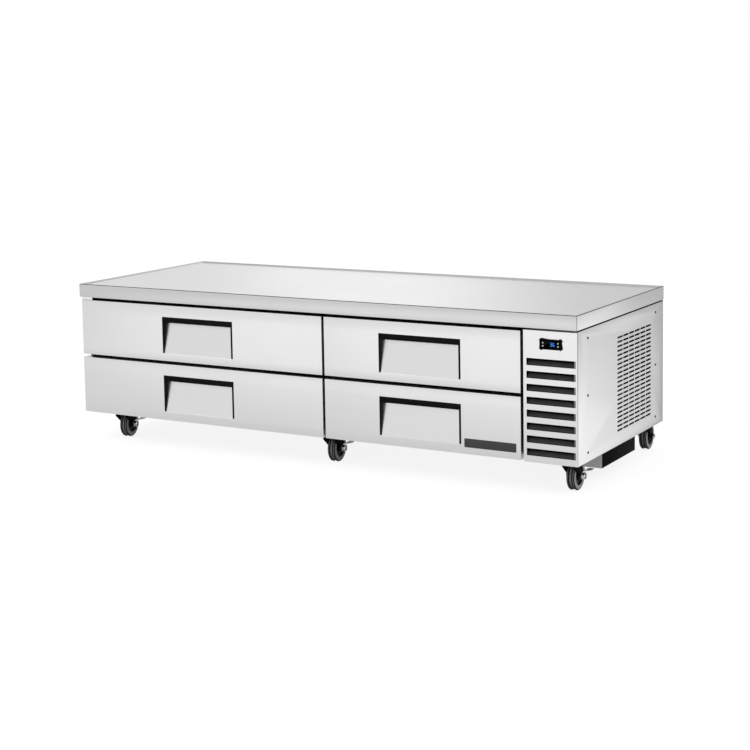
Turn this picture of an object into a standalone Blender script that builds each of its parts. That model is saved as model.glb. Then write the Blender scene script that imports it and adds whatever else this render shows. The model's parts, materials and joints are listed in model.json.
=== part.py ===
"""Refrigerated chef base: a low stand with four insulated drawers, a machine compartment and six castors.

Metres, +Z up. The drawers face -Y, and the machine compartment is at the +X end. The pieces are laid out
from the floor under the middle of the worktop, and moved at the end so that the origin is under the middle
of the whole, which the rear wheels make deeper than the worktop.
"""

import math
from typing import NamedTuple

import bmesh
import bpy
from mathutils import Matrix, Vector

# Clearances shared by all pieces
SEAT_GAP = 0.0003
RUNNING_GAP = 0.0004
OVERRUN = 0.004

# Sheet metal
PANEL_SHEET = 0.0012
WORKTOP_SHEET = 0.0015
LINER_SHEET = 0.0008
FLANGE_WIDTH = 0.012
HEM_WIDTH = 0.012

# Worktop and its raised edge
FASCIA_HEIGHT = 0.051
RIM_HEIGHT = 0.005
RIM_TOP_WIDTH = 0.004
RIM_SLOPE_WIDTH = 0.008
EDGE_CHAMFER = 0.002

# Where the outer faces lie, in from the worktop's edges
END_INSET = 0.002
FRONT_INSET = 0.010
REAR_INSET = 0.003

# Front, from left to right and from the bottom up. The banks' widths follow from their pans
BANK_GAP = 0.0100
LOUVRE_PANEL_GAP = 0.0105
LOUVRE_PANEL_WIDTH = 0.1955
SKIRT_DROP = 0.024
DRAWER_FOOT_GAP = 0.0025
DRAWER_FRONT_HEIGHT = 0.213
LOWER_FRONT_EXTRA = 0.004
DRAWER_SPLIT = 0.012
TOP_BAND = 0.0125
PANEL_TOP_GAP = 0.0045
LOUVRE_TOP_GAP = 0.0075

# Insulated walls
END_WALL = 0.054
DRAWER_LAP = 0.0195
FLOOR_WALL = 0.035
CEILING_WALL = 0.047
BACK_WALL = 0.054
MIDDLE_RAIL = 0.040
FRONT_FRAME_DEPTH = 0.010
BULKHEAD_SETBACK = 0.016
CORE_LAP = 0.001

# Front flange of the left end panel, seen over the upper drawer
END_TAB_WIDTH = 0.051
END_TAB_SETBACK = 0.0015
END_TAB_GAP = 0.001

# Drawer fronts, pulls and gaskets
FRONT_THICKNESS = 0.036
GASKET_DEPTH = 0.008
GASKET_WIDTH = 0.010
GASKET_OFFSET = 0.0015
POCKET_WIDTH = 0.3210
POCKET_DEPTH = 0.022
POCKET_DROP = 0.0445
POCKET_FOOT = 0.0295
PULL_BAR_HEIGHT = 0.0205
PULL_BAR_DEPTH = 0.008
PULL_PROUD = 0.0015
CHEEK_WIDTH = 0.006
CHEEK_CLEARANCE = 0.0006

# Drawer carriers and the wells in them, one for each pan
CARRIER_SHEET = 0.0015
CARRIER_SKIRT = 0.055
CARRIER_HEADROOM = 0.040
LEFT_WELLS = 3
RIGHT_WELLS = 2
WELL_WIDTH = 0.305
WELL_LENGTH = 0.507
WELL_DIVIDER = 0.020
LEFT_WELL_MARGIN = 0.0205
RIGHT_WELL_MARGIN = 0.0370
WELL_FRONT_MARGIN = 0.018
WELL_REAR_MARGIN = 0.027

# Drawer tracks: channels on the cavity walls, and the flanges of the carriers that run in them
TRACK_SPACE = 0.0145
TRACK_HEIGHT = 0.046
TRACK_SHEET = 0.0015
TRACK_REACH = 0.0118
TRACK_DROP = 0.028
TRACK_SETBACK = 0.0037
RAIL_OVERHANG = 0.072
TRACK_OVERHANG = 0.008
CAVITY_REAR_SPACE = 0.0798

# Front louvre panel
LOUVRE_COUNT = 8
LOUVRE_LEFT_MARGIN = 0.01175
LOUVRE_RIGHT_MARGIN = 0.00525
LOUVRE_HEIGHT = 0.0242
LOUVRE_TOP_MARGIN = 0.0951
LOUVRE_FOOT_MARGIN = 0.0229
LOUVRE_FLANGE = 0.036

# Controller
BEZEL_WIDTH = 0.080
BEZEL_HEIGHT = 0.0345
BEZEL_DEPTH = 0.003
CONTROLLER_DROP = 0.0447
CONTROLLER_BODY_WIDTH = 0.071
CONTROLLER_BODY_HEIGHT = 0.029
CONTROLLER_BODY_DEPTH = 0.050
KEY_RADIUS = 0.0028
KEY_CLEARANCE = 0.0003
KEY_PROUD = 0.0008
KEY_LENGTH = 0.0030
KEY_BORE_DEPTH = 0.0032
KEY_SPREAD = 0.0275
KEY_RISE = 0.0053

# Right side panel
GRILLE_ROWS = 22
GRILLE_SLOTS = 6
GRILLE_TOP_MARGIN = 0.0713
GRILLE_FOOT_MARGIN = 0.05307
GRILLE_FRONT_MARGIN = 0.3485
GRILLE_REAR_MARGIN = 0.1245
GRILLE_SLOT_HEIGHT = 0.007
GRILLE_WEB = 0.005
SCREW_EDGE_MARGIN = 0.032
SCREW_FRONT_MARGIN = 0.085
SCREW_REAR_MARGIN = 0.0765
SCREW_HOLE_RADIUS = 0.0023

# Back panel
REAR_VENT_COUNT = 8
REAR_VENT_WIDTH = 0.120
REAR_VENT_HEIGHT = 0.008
REAR_VENT_PITCH = 0.018
REAR_VENT_DROP = 0.243
GLAND_RISE = 0.070
GLAND_HOLE_RADIUS = 0.011
GLAND_FLANGE_RADIUS = 0.0145
GLAND_FLANGE_DEPTH = 0.0024
GLAND_BORE_RADIUS = 0.0045
GLAND_INNER_LENGTH = 0.014

# Condensing unit tray, hung through the base pan between the castors
TRAY_FRONT_SPACE = 0.186
TRAY_REAR_SPACE = 0.174
TRAY_RIGHT_INSET = 0.0215
TRAY_LEFT_GAP = 0.012
TRAY_DROP = 0.088
TRAY_SHEET = 0.0012
TRAY_FLANGE = 0.007
TRAY_SEAT = 0.0005

# Compressor
COMPRESSOR_HEIGHT = 0.165
COMPRESSOR_SHIFT = 0.019
COMPRESSOR_NECK_SHARE = 0.78
COMPRESSOR_SHOULDER_SHARE = 0.16
COMPRESSOR_SHELL_MARGIN = 0.005
COMPRESSOR_PLATE_MARGIN = 0.0094
COMPRESSOR_PLATE_LENGTH = 0.150
COMPRESSOR_PLATE_SHEET = 0.003
COMPRESSOR_FOOT_RADIUS = 0.010
COMPRESSOR_FOOT_HEIGHT = 0.012
COMPRESSOR_FOOT_MARGIN = 0.013
COMPRESSOR_STUB_RADIUS = 0.005
COMPRESSOR_STUB_LENGTH = 0.030
COMPRESSOR_STUB_SPREAD = 0.022

# Fins of both coils, as shares of their pitch and of the coil's depth
FIN_SHARE = 0.45
SPINE_SHARE = 0.40

# Condenser and its fan
CONDENSER_SETBACK = 0.048
CONDENSER_DEPTH = 0.038
CONDENSER_SIDE_GAP = 0.010
CONDENSER_TOP_GAP = 0.0163
CONDENSER_FINS = 14
FAN_EDGE_GAP = 0.0008
FAN_SPACE = 0.040
FAN_HUB_RADIUS = 0.018
FAN_HUB_LENGTH = 0.022
FAN_BORE_RADIUS = 0.0045
FAN_BLADES = 5
FAN_BLADE_CHORD = 0.036
FAN_BLADE_SHEET = 0.0016
FAN_BLADE_PITCH_DEG = 28.0
MOTOR_RADIUS = 0.032
MOTOR_SPACE = 0.027
MOTOR_LENGTH = 0.060
MOTOR_SHAFT_CLEARANCE = 0.0004
MOTOR_LEG_WIDTH = 0.030
MOTOR_LEG_SHEET = 0.004
MOTOR_FOOT_LENGTH = 0.045

# Evaporator, on the rear wall of the right cavity
EVAPORATOR_SIDE_GAP = 0.045
EVAPORATOR_DEPTH = 0.062
EVAPORATOR_HEADROOM = 0.016
EVAPORATOR_HEIGHT = 0.150
EVAPORATOR_FINS = 22
EVAPORATOR_MOTOR_RADIUS = 0.022
EVAPORATOR_MOTOR_LENGTH = 0.024
EVAPORATOR_FAN_RADIUS = 0.058
EVAPORATOR_FAN_HUB_LENGTH = 0.016
EVAPORATOR_SHAFT_LENGTH = 0.022
EVAPORATOR_FAN_CHORD = 0.026

# Castors
CASTOR_LEFT_INSET = 0.134
CASTOR_MIDDLE_SHIFT = -0.0065
CASTOR_RIGHT_INSET = 0.054
CASTOR_FRONT_INSET = 0.086
CASTOR_REAR_INSET = 0.056
CASTOR_YAWS_DEG = {"front": (8.6, 4.6, 0.7), "rear": (8.6, 8.6, 3.0)}
CASTOR_RAIL_WIDTH = 0.062
CASTOR_RAIL_SHEET = 0.003
CASTOR_RAIL_LIP = 0.008
CASTOR_TRAIL = 0.032
WHEEL_RADIUS = 0.0508
WHEEL_WIDTH = 0.030
WHEEL_SIDES = 20
WHEEL_BORE_RADIUS = 0.0054
WHEEL_HUB_RADIUS = 0.013
WHEEL_HUB_WIDTH = 0.033
WHEEL_WEB_WIDTH = 0.020
WHEEL_TYRE_INNER_RADIUS = 0.034
WHEEL_SHOULDER = 0.0045
FORK_INNER_WIDTH = 0.039
FORK_LEG_SHEET = 0.0033
FORK_CROWN_LENGTH = 0.0666
FORK_SHOULDER_DROP = 0.013
FORK_CROWN_SHEET = 0.0035
FORK_WHEEL_CLEARANCE = 0.0029
RACEWAY_RADIUS = 0.026
RACEWAY_HEIGHT = 0.0183
AXLE_RADIUS = 0.0048
AXLE_BOSS_RADIUS = 0.0125
AXLE_REACH = 0.0335
NUT_END = 0.0320
NUT_RADIUS = 0.0085
NUT_SIDES = 6
BRAKE_SHEET = 0.0025
BRAKE_HOLE_RADIUS = 0.0053
BRAKE_ARM_LENGTH = 0.060
BRAKE_TAB_START = 0.026
BRAKE_TAB_RISE = 0.0115
BRAKE_TAB_WIDTH = 0.020

ROUND_SIDES = 20
SMALL_ROUND_SIDES = 12

# Banks, which are as wide as their pans and walls make them
LEFT_WELLS_SPAN = LEFT_WELLS * WELL_WIDTH + (LEFT_WELLS - 1) * WELL_DIVIDER
RIGHT_WELLS_SPAN = RIGHT_WELLS * WELL_WIDTH + (RIGHT_WELLS - 1) * WELL_DIVIDER
LEFT_CAVITY_WIDTH = LEFT_WELLS_SPAN + 2 * (LEFT_WELL_MARGIN + TRACK_SPACE)
RIGHT_CAVITY_WIDTH = RIGHT_WELLS_SPAN + 2 * (RIGHT_WELL_MARGIN + TRACK_SPACE)
LEFT_BANK_WIDTH = END_WALL + LEFT_CAVITY_WIDTH + DRAWER_LAP
RIGHT_BANK_WIDTH = DRAWER_LAP + RIGHT_CAVITY_WIDTH + DRAWER_LAP

# Sizes of the whole unit, which are the sums of its pieces
WORKTOP_LENGTH = (
    END_INSET
    + LEFT_BANK_WIDTH
    + BANK_GAP
    + RIGHT_BANK_WIDTH
    + LOUVRE_PANEL_GAP
    + LOUVRE_PANEL_WIDTH
    + SEAT_GAP
    + PANEL_SHEET
    + END_INSET
)
CAVITY_DEPTH = (
    WELL_FRONT_MARGIN + WELL_LENGTH + WELL_REAR_MARGIN + RAIL_OVERHANG + TRACK_OVERHANG + CAVITY_REAR_SPACE
)
WORKTOP_DEPTH = FRONT_INSET + FRONT_THICKNESS + CAVITY_DEPTH + BACK_WALL + PANEL_SHEET + REAR_INSET
CROWN_TOP = 2 * WHEEL_RADIUS + FORK_WHEEL_CLEARANCE + FORK_CROWN_SHEET
RACEWAY_TOP = CROWN_TOP + RACEWAY_HEIGHT
CASTOR_OVERALL = RACEWAY_TOP + RUNNING_GAP + CASTOR_RAIL_SHEET + SEAT_GAP
SKIRT_CLEARANCE = CASTOR_OVERALL - SKIRT_DROP
LOWER_FRONT_HEIGHT = DRAWER_FRONT_HEIGHT + LOWER_FRONT_EXTRA
FRONTS_HEIGHT = DRAWER_FOOT_GAP + LOWER_FRONT_HEIGHT + DRAWER_SPLIT + DRAWER_FRONT_HEIGHT + TOP_BAND
TOTAL_HEIGHT = SKIRT_CLEARANCE + FRONTS_HEIGHT + FASCIA_HEIGHT

# Places that follow from the sizes
HALF_LENGTH = WORKTOP_LENGTH / 2
HALF_DEPTH = WORKTOP_DEPTH / 2
DECK_Z = TOTAL_HEIGHT - RIM_HEIGHT
FASCIA_BOTTOM = TOTAL_HEIGHT - FASCIA_HEIGHT
CARCASS_TOP = FASCIA_BOTTOM - SEAT_GAP
CORE_BOTTOM = CARCASS_TOP - CORE_LAP
LEFT_X = -HALF_LENGTH + END_INSET
RIGHT_X = HALF_LENGTH - END_INSET
FRONT_Y = -HALF_DEPTH + FRONT_INSET
REAR_Y = HALF_DEPTH - REAR_INSET
BACK_FACE_Y = REAR_Y - PANEL_SHEET - SEAT_GAP
DRAWER_BACK_Y = FRONT_Y + FRONT_THICKNESS
FRAME_FACE_Y = DRAWER_BACK_Y + GASKET_DEPTH + SEAT_GAP
FRAME_BACK_Y = FRAME_FACE_Y + FRONT_FRAME_DEPTH
BASE_Z = CASTOR_OVERALL
BASE_TOP = BASE_Z + PANEL_SHEET
LOUVRE_LEFT_X = LEFT_X + LEFT_BANK_WIDTH + BANK_GAP + RIGHT_BANK_WIDTH + LOUVRE_PANEL_GAP
LOUVRE_RIGHT_X = RIGHT_X - PANEL_SHEET - SEAT_GAP
LOUVRE_WIDTH = LOUVRE_PANEL_WIDTH - LOUVRE_LEFT_MARGIN - LOUVRE_RIGHT_MARGIN
LOUVRE_CENTRE_X = LOUVRE_LEFT_X + LOUVRE_LEFT_MARGIN + LOUVRE_WIDTH / 2
LOUVRE_PANEL_TOP = FASCIA_BOTTOM - LOUVRE_TOP_GAP
LOUVRE_TOP_Z = LOUVRE_PANEL_TOP - LOUVRE_TOP_MARGIN
LOUVRE_BOTTOM_Z = SKIRT_CLEARANCE + LOUVRE_FOOT_MARGIN
LOUVRE_PITCH = (LOUVRE_TOP_Z - LOUVRE_HEIGHT - LOUVRE_BOTTOM_Z) / (LOUVRE_COUNT - 1)
CONTROLLER_Z = LOUVRE_PANEL_TOP - CONTROLLER_DROP
BULKHEAD_X = LOUVRE_LEFT_X + BULKHEAD_SETBACK
MACHINE_CENTRE_X = (BULKHEAD_X + RIGHT_X) / 2
CAVITY_FLOOR = BASE_TOP + FLOOR_WALL
CAVITY_TOP = FASCIA_BOTTOM - CEILING_WALL
CAVITY_BACK_Y = DRAWER_BACK_Y + CAVITY_DEPTH
FOAM_LEFT_X = LEFT_X + PANEL_SHEET + SEAT_GAP
FOAM_RIGHT_X = BULKHEAD_X - SEAT_GAP
DRAWER_BOTTOM_Z = SKIRT_CLEARANCE + DRAWER_FOOT_GAP
LOWER_FRONT_TOP = DRAWER_BOTTOM_Z + LOWER_FRONT_HEIGHT
UPPER_FRONT_BOTTOM = LOWER_FRONT_TOP + DRAWER_SPLIT
UPPER_FRONT_TOP = FASCIA_BOTTOM - TOP_BAND
SPLIT_CENTRE_Z = (LOWER_FRONT_TOP + UPPER_FRONT_BOTTOM) / 2
POCKET_HEIGHT = DRAWER_FRONT_HEIGHT - POCKET_DROP - POCKET_FOOT
CARRIER_REAR_Y = DRAWER_BACK_Y + WELL_FRONT_MARGIN + WELL_LENGTH + WELL_REAR_MARGIN
RAIL_REAR_Y = CARRIER_REAR_Y + RAIL_OVERHANG
TRACK_FRONT_Y = FRAME_BACK_Y + TRACK_SETBACK
TRACK_REAR_Y = RAIL_REAR_Y + TRACK_OVERHANG
SIDE_PANEL_FRONT_Y = FRONT_Y + PANEL_SHEET + SEAT_GAP
SIDE_PANEL_TOP = FASCIA_BOTTOM - PANEL_TOP_GAP
GRILLE_TOP_Z = SIDE_PANEL_TOP - GRILLE_TOP_MARGIN
GRILLE_BOTTOM_Z = SKIRT_CLEARANCE + GRILLE_FOOT_MARGIN
GRILLE_ROW_PITCH = (GRILLE_TOP_Z - GRILLE_BOTTOM_Z) / (GRILLE_ROWS - 1)
GRILLE_FRONT_Y = SIDE_PANEL_FRONT_Y + GRILLE_FRONT_MARGIN
GRILLE_WIDTH = BACK_FACE_Y - GRILLE_REAR_MARGIN - GRILLE_FRONT_Y
SCREW_LOW_Z = SKIRT_CLEARANCE + SCREW_EDGE_MARGIN
SCREW_HIGH_Z = SIDE_PANEL_TOP - SCREW_EDGE_MARGIN
SCREW_ROWS_Z = (SCREW_LOW_Z, (SCREW_LOW_Z + SCREW_HIGH_Z) / 2, SCREW_HIGH_Z)
SCREW_COLUMNS_Y = (SIDE_PANEL_FRONT_Y + SCREW_FRONT_MARGIN, BACK_FACE_Y - SCREW_REAR_MARGIN)
REAR_VENT_BOTTOM_Z = FASCIA_BOTTOM - REAR_VENT_DROP
GLAND_Z = BASE_Z + GLAND_RISE
CASTOR_FRONT_Y = -HALF_DEPTH + CASTOR_FRONT_INSET
CASTOR_REAR_Y = HALF_DEPTH - CASTOR_REAR_INSET
CASTOR_MIDDLE_X = LEFT_X + LEFT_BANK_WIDTH + CASTOR_MIDDLE_SHIFT
CASTOR_COLUMNS_X = (LEFT_X + CASTOR_LEFT_INSET, CASTOR_MIDDLE_X, RIGHT_X - CASTOR_RIGHT_INSET)
TRAY_LEFT_X = BULKHEAD_X + PANEL_SHEET + TRAY_LEFT_GAP
TRAY_RIGHT_X = RIGHT_X - TRAY_RIGHT_INSET
TRAY_FRONT_Y = CASTOR_FRONT_Y + TRAY_FRONT_SPACE
TRAY_REAR_Y = CASTOR_REAR_Y - TRAY_REAR_SPACE
TRAY_FLOOR_Z = BASE_Z - TRAY_DROP
COMPRESSOR_Y = (TRAY_FRONT_Y + TRAY_REAR_Y) / 2 + COMPRESSOR_SHIFT
COMPRESSOR_PLATE_WIDTH = TRAY_RIGHT_X - TRAY_LEFT_X - 2 * COMPRESSOR_PLATE_MARGIN
COMPRESSOR_RADIUS = COMPRESSOR_PLATE_WIDTH / 2 - COMPRESSOR_SHELL_MARGIN
CONDENSER_LEFT_X = BULKHEAD_X + PANEL_SHEET + CONDENSER_SIDE_GAP
CONDENSER_RIGHT_X = RIGHT_X - PANEL_SHEET - FLANGE_WIDTH - CONDENSER_SIDE_GAP
CONDENSER_FRONT_Y = FRONT_Y + CONDENSER_SETBACK
CONDENSER_BACK_Y = CONDENSER_FRONT_Y + CONDENSER_DEPTH
CONDENSER_TOP_Z = CONTROLLER_Z - CONTROLLER_BODY_HEIGHT / 2 - CONDENSER_TOP_GAP
FAN_RADIUS = (CONDENSER_RIGHT_X - CONDENSER_LEFT_X) / 2 - FAN_EDGE_GAP
FAN_Y = CONDENSER_BACK_Y + FAN_SPACE
FAN_Z = (BASE_TOP + CONDENSER_TOP_Z) / 2
MOTOR_FRONT_Y = FAN_Y + MOTOR_SPACE
EVAPORATOR_TOP_Z = CAVITY_TOP - EVAPORATOR_HEADROOM
EVAPORATOR_BOTTOM_Z = EVAPORATOR_TOP_Z - EVAPORATOR_HEIGHT
CASTOR_YAWS = {row: tuple(math.radians(angle) for angle in angles) for row, angles in CASTOR_YAWS_DEG.items()}
WHEEL_REACH_Y = CASTOR_REAR_Y + max(
    (CASTOR_TRAIL + WHEEL_RADIUS) * math.cos(yaw) + (WHEEL_WIDTH / 2 - WHEEL_SHOULDER) * math.sin(yaw)
    for yaw in CASTOR_YAWS["rear"]
)
MIDDLE_Y = (max(HALF_DEPTH, WHEEL_REACH_Y) - HALF_DEPTH) / 2
ORIGIN = (0.0, 0.0, 0.0)


class Finish(NamedTuple):
    """Plain look of a piece: colour, roughness and metallic value."""

    colour: tuple
    roughness: float
    metallic: float


class Bank(NamedTuple):
    """One column of drawers: its fronts' and its cavity's left and right sides, and its pans."""

    front: tuple
    cavity: tuple
    wells: int


class Level(NamedTuple):
    """One row of drawers: its fronts' and its openings' bottom and top."""

    front: tuple
    opening: tuple


STAINLESS = Finish((0.80, 0.80, 0.80), 0.32, 1.0)
GALVANISED = Finish((0.62, 0.63, 0.64), 0.50, 1.0)
ZINC = Finish((0.75, 0.75, 0.76), 0.30, 1.0)
COPPER_FIN = Finish((0.55, 0.55, 0.56), 0.45, 0.9)
BLACK_PLASTIC = Finish((0.02, 0.02, 0.02), 0.45, 0.0)
BLACK_STEEL = Finish((0.03, 0.03, 0.03), 0.40, 0.0)
RUBBER = Finish((0.10, 0.10, 0.10), 0.75, 0.0)
GASKET_GREY = Finish((0.12, 0.12, 0.12), 0.70, 0.0)
FOAM = Finish((0.85, 0.78, 0.55), 0.90, 0.0)
KEY_WHITE = Finish((0.85, 0.85, 0.85), 0.40, 0.0)

LEFT_FRONT = (LEFT_X, LEFT_X + LEFT_BANK_WIDTH)
RIGHT_FRONT = (LEFT_FRONT[1] + BANK_GAP, LEFT_FRONT[1] + BANK_GAP + RIGHT_BANK_WIDTH)
BANKS = {
    "left": Bank(LEFT_FRONT, (LEFT_X + END_WALL, LEFT_FRONT[1] - DRAWER_LAP), LEFT_WELLS),
    "right": Bank(RIGHT_FRONT, (RIGHT_FRONT[0] + DRAWER_LAP, RIGHT_FRONT[1] - DRAWER_LAP), RIGHT_WELLS),
}
LEVELS = {
    "lower": Level((DRAWER_BOTTOM_Z, LOWER_FRONT_TOP), (CAVITY_FLOOR, SPLIT_CENTRE_Z - MIDDLE_RAIL / 2)),
    "upper": Level((UPPER_FRONT_BOTTOM, UPPER_FRONT_TOP), (SPLIT_CENTRE_Z + MIDDLE_RAIL / 2, CAVITY_TOP)),
}


def clear_scene():
    """Remove every object of the scene."""
    for thing in list(bpy.data.objects):
        bpy.data.objects.remove(thing, do_unlink=True)


def make_material(name, finish):
    """Return a Principled material with a finish's values."""
    material = bpy.data.materials.new(name)
    material.use_nodes = True
    shader = material.node_tree.nodes["Principled BSDF"]
    shader.inputs["Base Color"].default_value = (*finish.colour, 1.0)
    shader.inputs["Roughness"].default_value = finish.roughness
    shader.inputs["Metallic"].default_value = finish.metallic
    return material


def make_object(name, mesh, finish, pivot=ORIGIN, parent=None):
    """Turn a bmesh in world coordinates into an object whose origin is at pivot."""
    bmesh.ops.recalc_face_normals(mesh, faces=mesh.faces)
    data = bpy.data.meshes.new(name)
    mesh.to_mesh(data)
    mesh.free()
    data.transform(Matrix.Translation(-Vector(pivot)))
    thing = place_mesh(name, data, finish)
    thing.location = pivot
    if parent is not None:
        thing.parent = parent
        thing.matrix_parent_inverse = Matrix.Translation(-parent.location)
    return thing


def place_mesh(name, data, finish):
    """Link an object that shows a mesh, with a material of its own."""
    thing = bpy.data.objects.new(name, data)
    bpy.context.scene.collection.objects.link(thing)
    material = make_material(name + "_finish", finish)
    if not data.materials:
        data.materials.append(material)
    thing.material_slots[0].link = "OBJECT"
    thing.material_slots[0].material = material
    return thing


def shade_round(thing):
    """Shade a round piece smooth, with its corners kept."""
    thing.data.shade_smooth()
    thing.data.set_sharp_from_angle(angle=math.radians(35.0))


def combine(thing, mesh, operation, label):
    """Add a Boolean modifier whose second shape is a bmesh in world coordinates."""
    cutter = make_object(f"{thing.name}_{label}", mesh, BLACK_PLASTIC)
    cutter.hide_render = True
    cutter.display_type = "WIRE"
    modifier = thing.modifiers.new(label, "BOOLEAN")
    modifier.operation = operation
    modifier.object = cutter
    modifier.solver = "EXACT"
    modifier.use_self = operation == "UNION"


def settle(thing):
    """Return an object's mesh with its modifiers applied, and remove it with its cutters."""
    bpy.context.view_layer.update()
    graph = bpy.context.evaluated_depsgraph_get()
    data = bpy.data.meshes.new_from_object(thing.evaluated_get(graph))
    for modifier in thing.modifiers:
        bpy.data.objects.remove(modifier.object, do_unlink=True)
    bpy.data.objects.remove(thing, do_unlink=True)
    data.materials.clear()
    data.shade_smooth()
    data.set_sharp_from_angle(angle=math.radians(35.0))
    return data


def add_box(mesh, low, high):
    """Add a box between two corners."""
    size = Vector(high) - Vector(low)
    centre = (Vector(high) + Vector(low)) / 2
    place = Matrix.Translation(centre) @ Matrix.Diagonal((*size, 1.0))
    bmesh.ops.create_cube(mesh, size=1.0, matrix=place)


def boxes(*corners):
    """Return a bmesh of boxes, each given by two corners."""
    mesh = bmesh.new()
    for low, high in corners:
        add_box(mesh, low, high)
    return mesh


def add_rod(mesh, start, end, radius, sides=SMALL_ROUND_SIDES):
    """Add a closed cylinder between two points."""
    start, end = Vector(start), Vector(end)
    turn = Vector((0, 0, 1)).rotation_difference(end - start).to_matrix().to_4x4()
    bmesh.ops.create_cone(
        mesh,
        cap_ends=True,
        segments=sides,
        radius1=radius,
        radius2=radius,
        depth=(end - start).length,
        matrix=Matrix.Translation((start + end) / 2) @ turn,
    )


def add_prism(mesh, outline, axis, low, high):
    """Extrude a flat outline from low to high along axis 0, 1 or 2. The outline is in the two other axes."""
    corners = []
    for first, second in outline:
        point = [first, second]
        point.insert(axis, low)
        corners.append(mesh.verts.new(point))
    face = mesh.faces.new(corners)
    raised = bmesh.ops.extrude_face_region(mesh, geom=[face])["geom"]
    shift = Vector((0, 0, 0))
    shift[axis] = high - low
    moved = [item for item in raised if isinstance(item, bmesh.types.BMVert)]
    bmesh.ops.translate(mesh, verts=moved, vec=shift)


def add_turned(mesh, profile, axis, centre, sides):
    """Turn a closed profile of (along, radius) points about axis 0, 1 or 2 through centre.

    A facet, not a corner, faces along the first of the two other axes, and lies at the stated radius.
    """
    half_step = math.pi / sides
    first, second = [other for other in range(3) if other != axis]
    ring = []
    for along, radius in profile:
        point = Vector(centre)
        point[axis] += along
        reach = radius / math.cos(half_step)
        point[first] += reach * math.cos(half_step)
        point[second] += reach * math.sin(half_step)
        ring.append(mesh.verts.new(point))
    edges = [mesh.edges.new((ring[i - 1], ring[i])) for i in range(len(ring))]
    direction = Vector((0, 0, 0))
    direction[axis] = 1.0
    bmesh.ops.spin(
        mesh, geom=ring + edges, cent=centre, axis=direction, angle=2 * math.pi, steps=sides, use_merge=True
    )
    bmesh.ops.remove_doubles(mesh, verts=mesh.verts, dist=SEAT_GAP / 10)


def turned(profile, axis, centre, sides=ROUND_SIDES):
    """Return a bmesh of one turned shape."""
    mesh = bmesh.new()
    add_turned(mesh, profile, axis, centre, sides)
    return mesh


def tube_profile(start, end, bore, radius):
    """Return the profile of a plain ring or tube for turning."""
    return [(start, bore), (end, bore), (end, radius), (start, radius)]


def build_worktop():
    """Fold the worktop: deck, raised V edge, fascia and the hem under it."""
    inner_edge = RIM_TOP_WIDTH + RIM_SLOPE_WIDTH
    profile = [
        (inner_edge, DECK_Z),
        (RIM_TOP_WIDTH, TOTAL_HEIGHT),
        (EDGE_CHAMFER, TOTAL_HEIGHT),
        (0.0, TOTAL_HEIGHT - EDGE_CHAMFER),
        (0.0, FASCIA_BOTTOM),
        (HEM_WIDTH, FASCIA_BOTTOM),
        (HEM_WIDTH, FASCIA_BOTTOM + WORKTOP_SHEET),
        (WORKTOP_SHEET, FASCIA_BOTTOM + WORKTOP_SHEET),
        (WORKTOP_SHEET, DECK_Z - WORKTOP_SHEET),
    ]
    mesh = bmesh.new()
    rings = []
    for inset, height in profile:
        x, y = HALF_LENGTH - inset, HALF_DEPTH - inset
        corners = ((-x, -y), (x, -y), (x, y), (-x, y))
        rings.append([mesh.verts.new((*corner, height)) for corner in corners])
    for outer, inner in zip(rings, rings[1:]):
        for i in range(4):
            mesh.faces.new((outer[i - 1], outer[i], inner[i], inner[i - 1]))
    mesh.faces.new(rings[0])
    mesh.faces.new(rings[-1])
    make_object("worktop", mesh, STAINLESS)


def liner_box(bank, wall):
    """Return the corners of a bank's cavity, grown by a wall on every side but the front."""
    low = (bank.cavity[0] - wall, liner_front(), CAVITY_FLOOR - wall)
    high = (bank.cavity[1] + wall, CAVITY_BACK_Y + wall, CAVITY_TOP + wall)
    return low, high


def open_front(corners):
    """Return a box run out past the front, so that it cuts the front wall away."""
    low, high = corners
    return (low[0], low[1] - OVERRUN, low[2]), high


def liner_front():
    """Return the y of the liner's front sheet."""
    return FRAME_BACK_Y + SEAT_GAP


def build_insulation():
    """Foam the carcass round the two cavities, with a core that fills the worktop."""
    core_x = HALF_LENGTH - HEM_WIDTH - SEAT_GAP
    core_y = HALF_DEPTH - HEM_WIDTH - SEAT_GAP
    core_top = DECK_Z - WORKTOP_SHEET - SEAT_GAP
    front = liner_front() + LINER_SHEET + SEAT_GAP
    block = boxes(((FOAM_LEFT_X, front, BASE_TOP + SEAT_GAP), (FOAM_RIGHT_X, BACK_FACE_Y, CARCASS_TOP)))
    foam = make_object("cabinet_foam", block, FOAM)
    combine(foam, boxes(((-core_x, -core_y, CORE_BOTTOM), (core_x, core_y, core_top))), "UNION", "core")
    hollow = [open_front(liner_box(bank, LINER_SHEET + SEAT_GAP)) for bank in BANKS.values()]
    combine(foam, boxes(*hollow), "DIFFERENCE", "cavities")


def build_liner():
    """Make the thin liner: a tub for each bank, joined by the sheet round their mouths."""
    front = liner_front()
    mouth_sheet = (
        (FOAM_LEFT_X, front, BASE_TOP + SEAT_GAP),
        (FOAM_RIGHT_X, front + LINER_SHEET, CORE_BOTTOM - SEAT_GAP),
    )
    liner = make_object("cabinet_liner", boxes(mouth_sheet), STAINLESS)
    combine(liner, boxes(*[liner_box(bank, LINER_SHEET) for bank in BANKS.values()]), "UNION", "tubs")
    hollow = boxes(*[open_front(liner_box(bank, 0.0)) for bank in BANKS.values()])
    combine(liner, hollow, "DIFFERENCE", "hollow")


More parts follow.
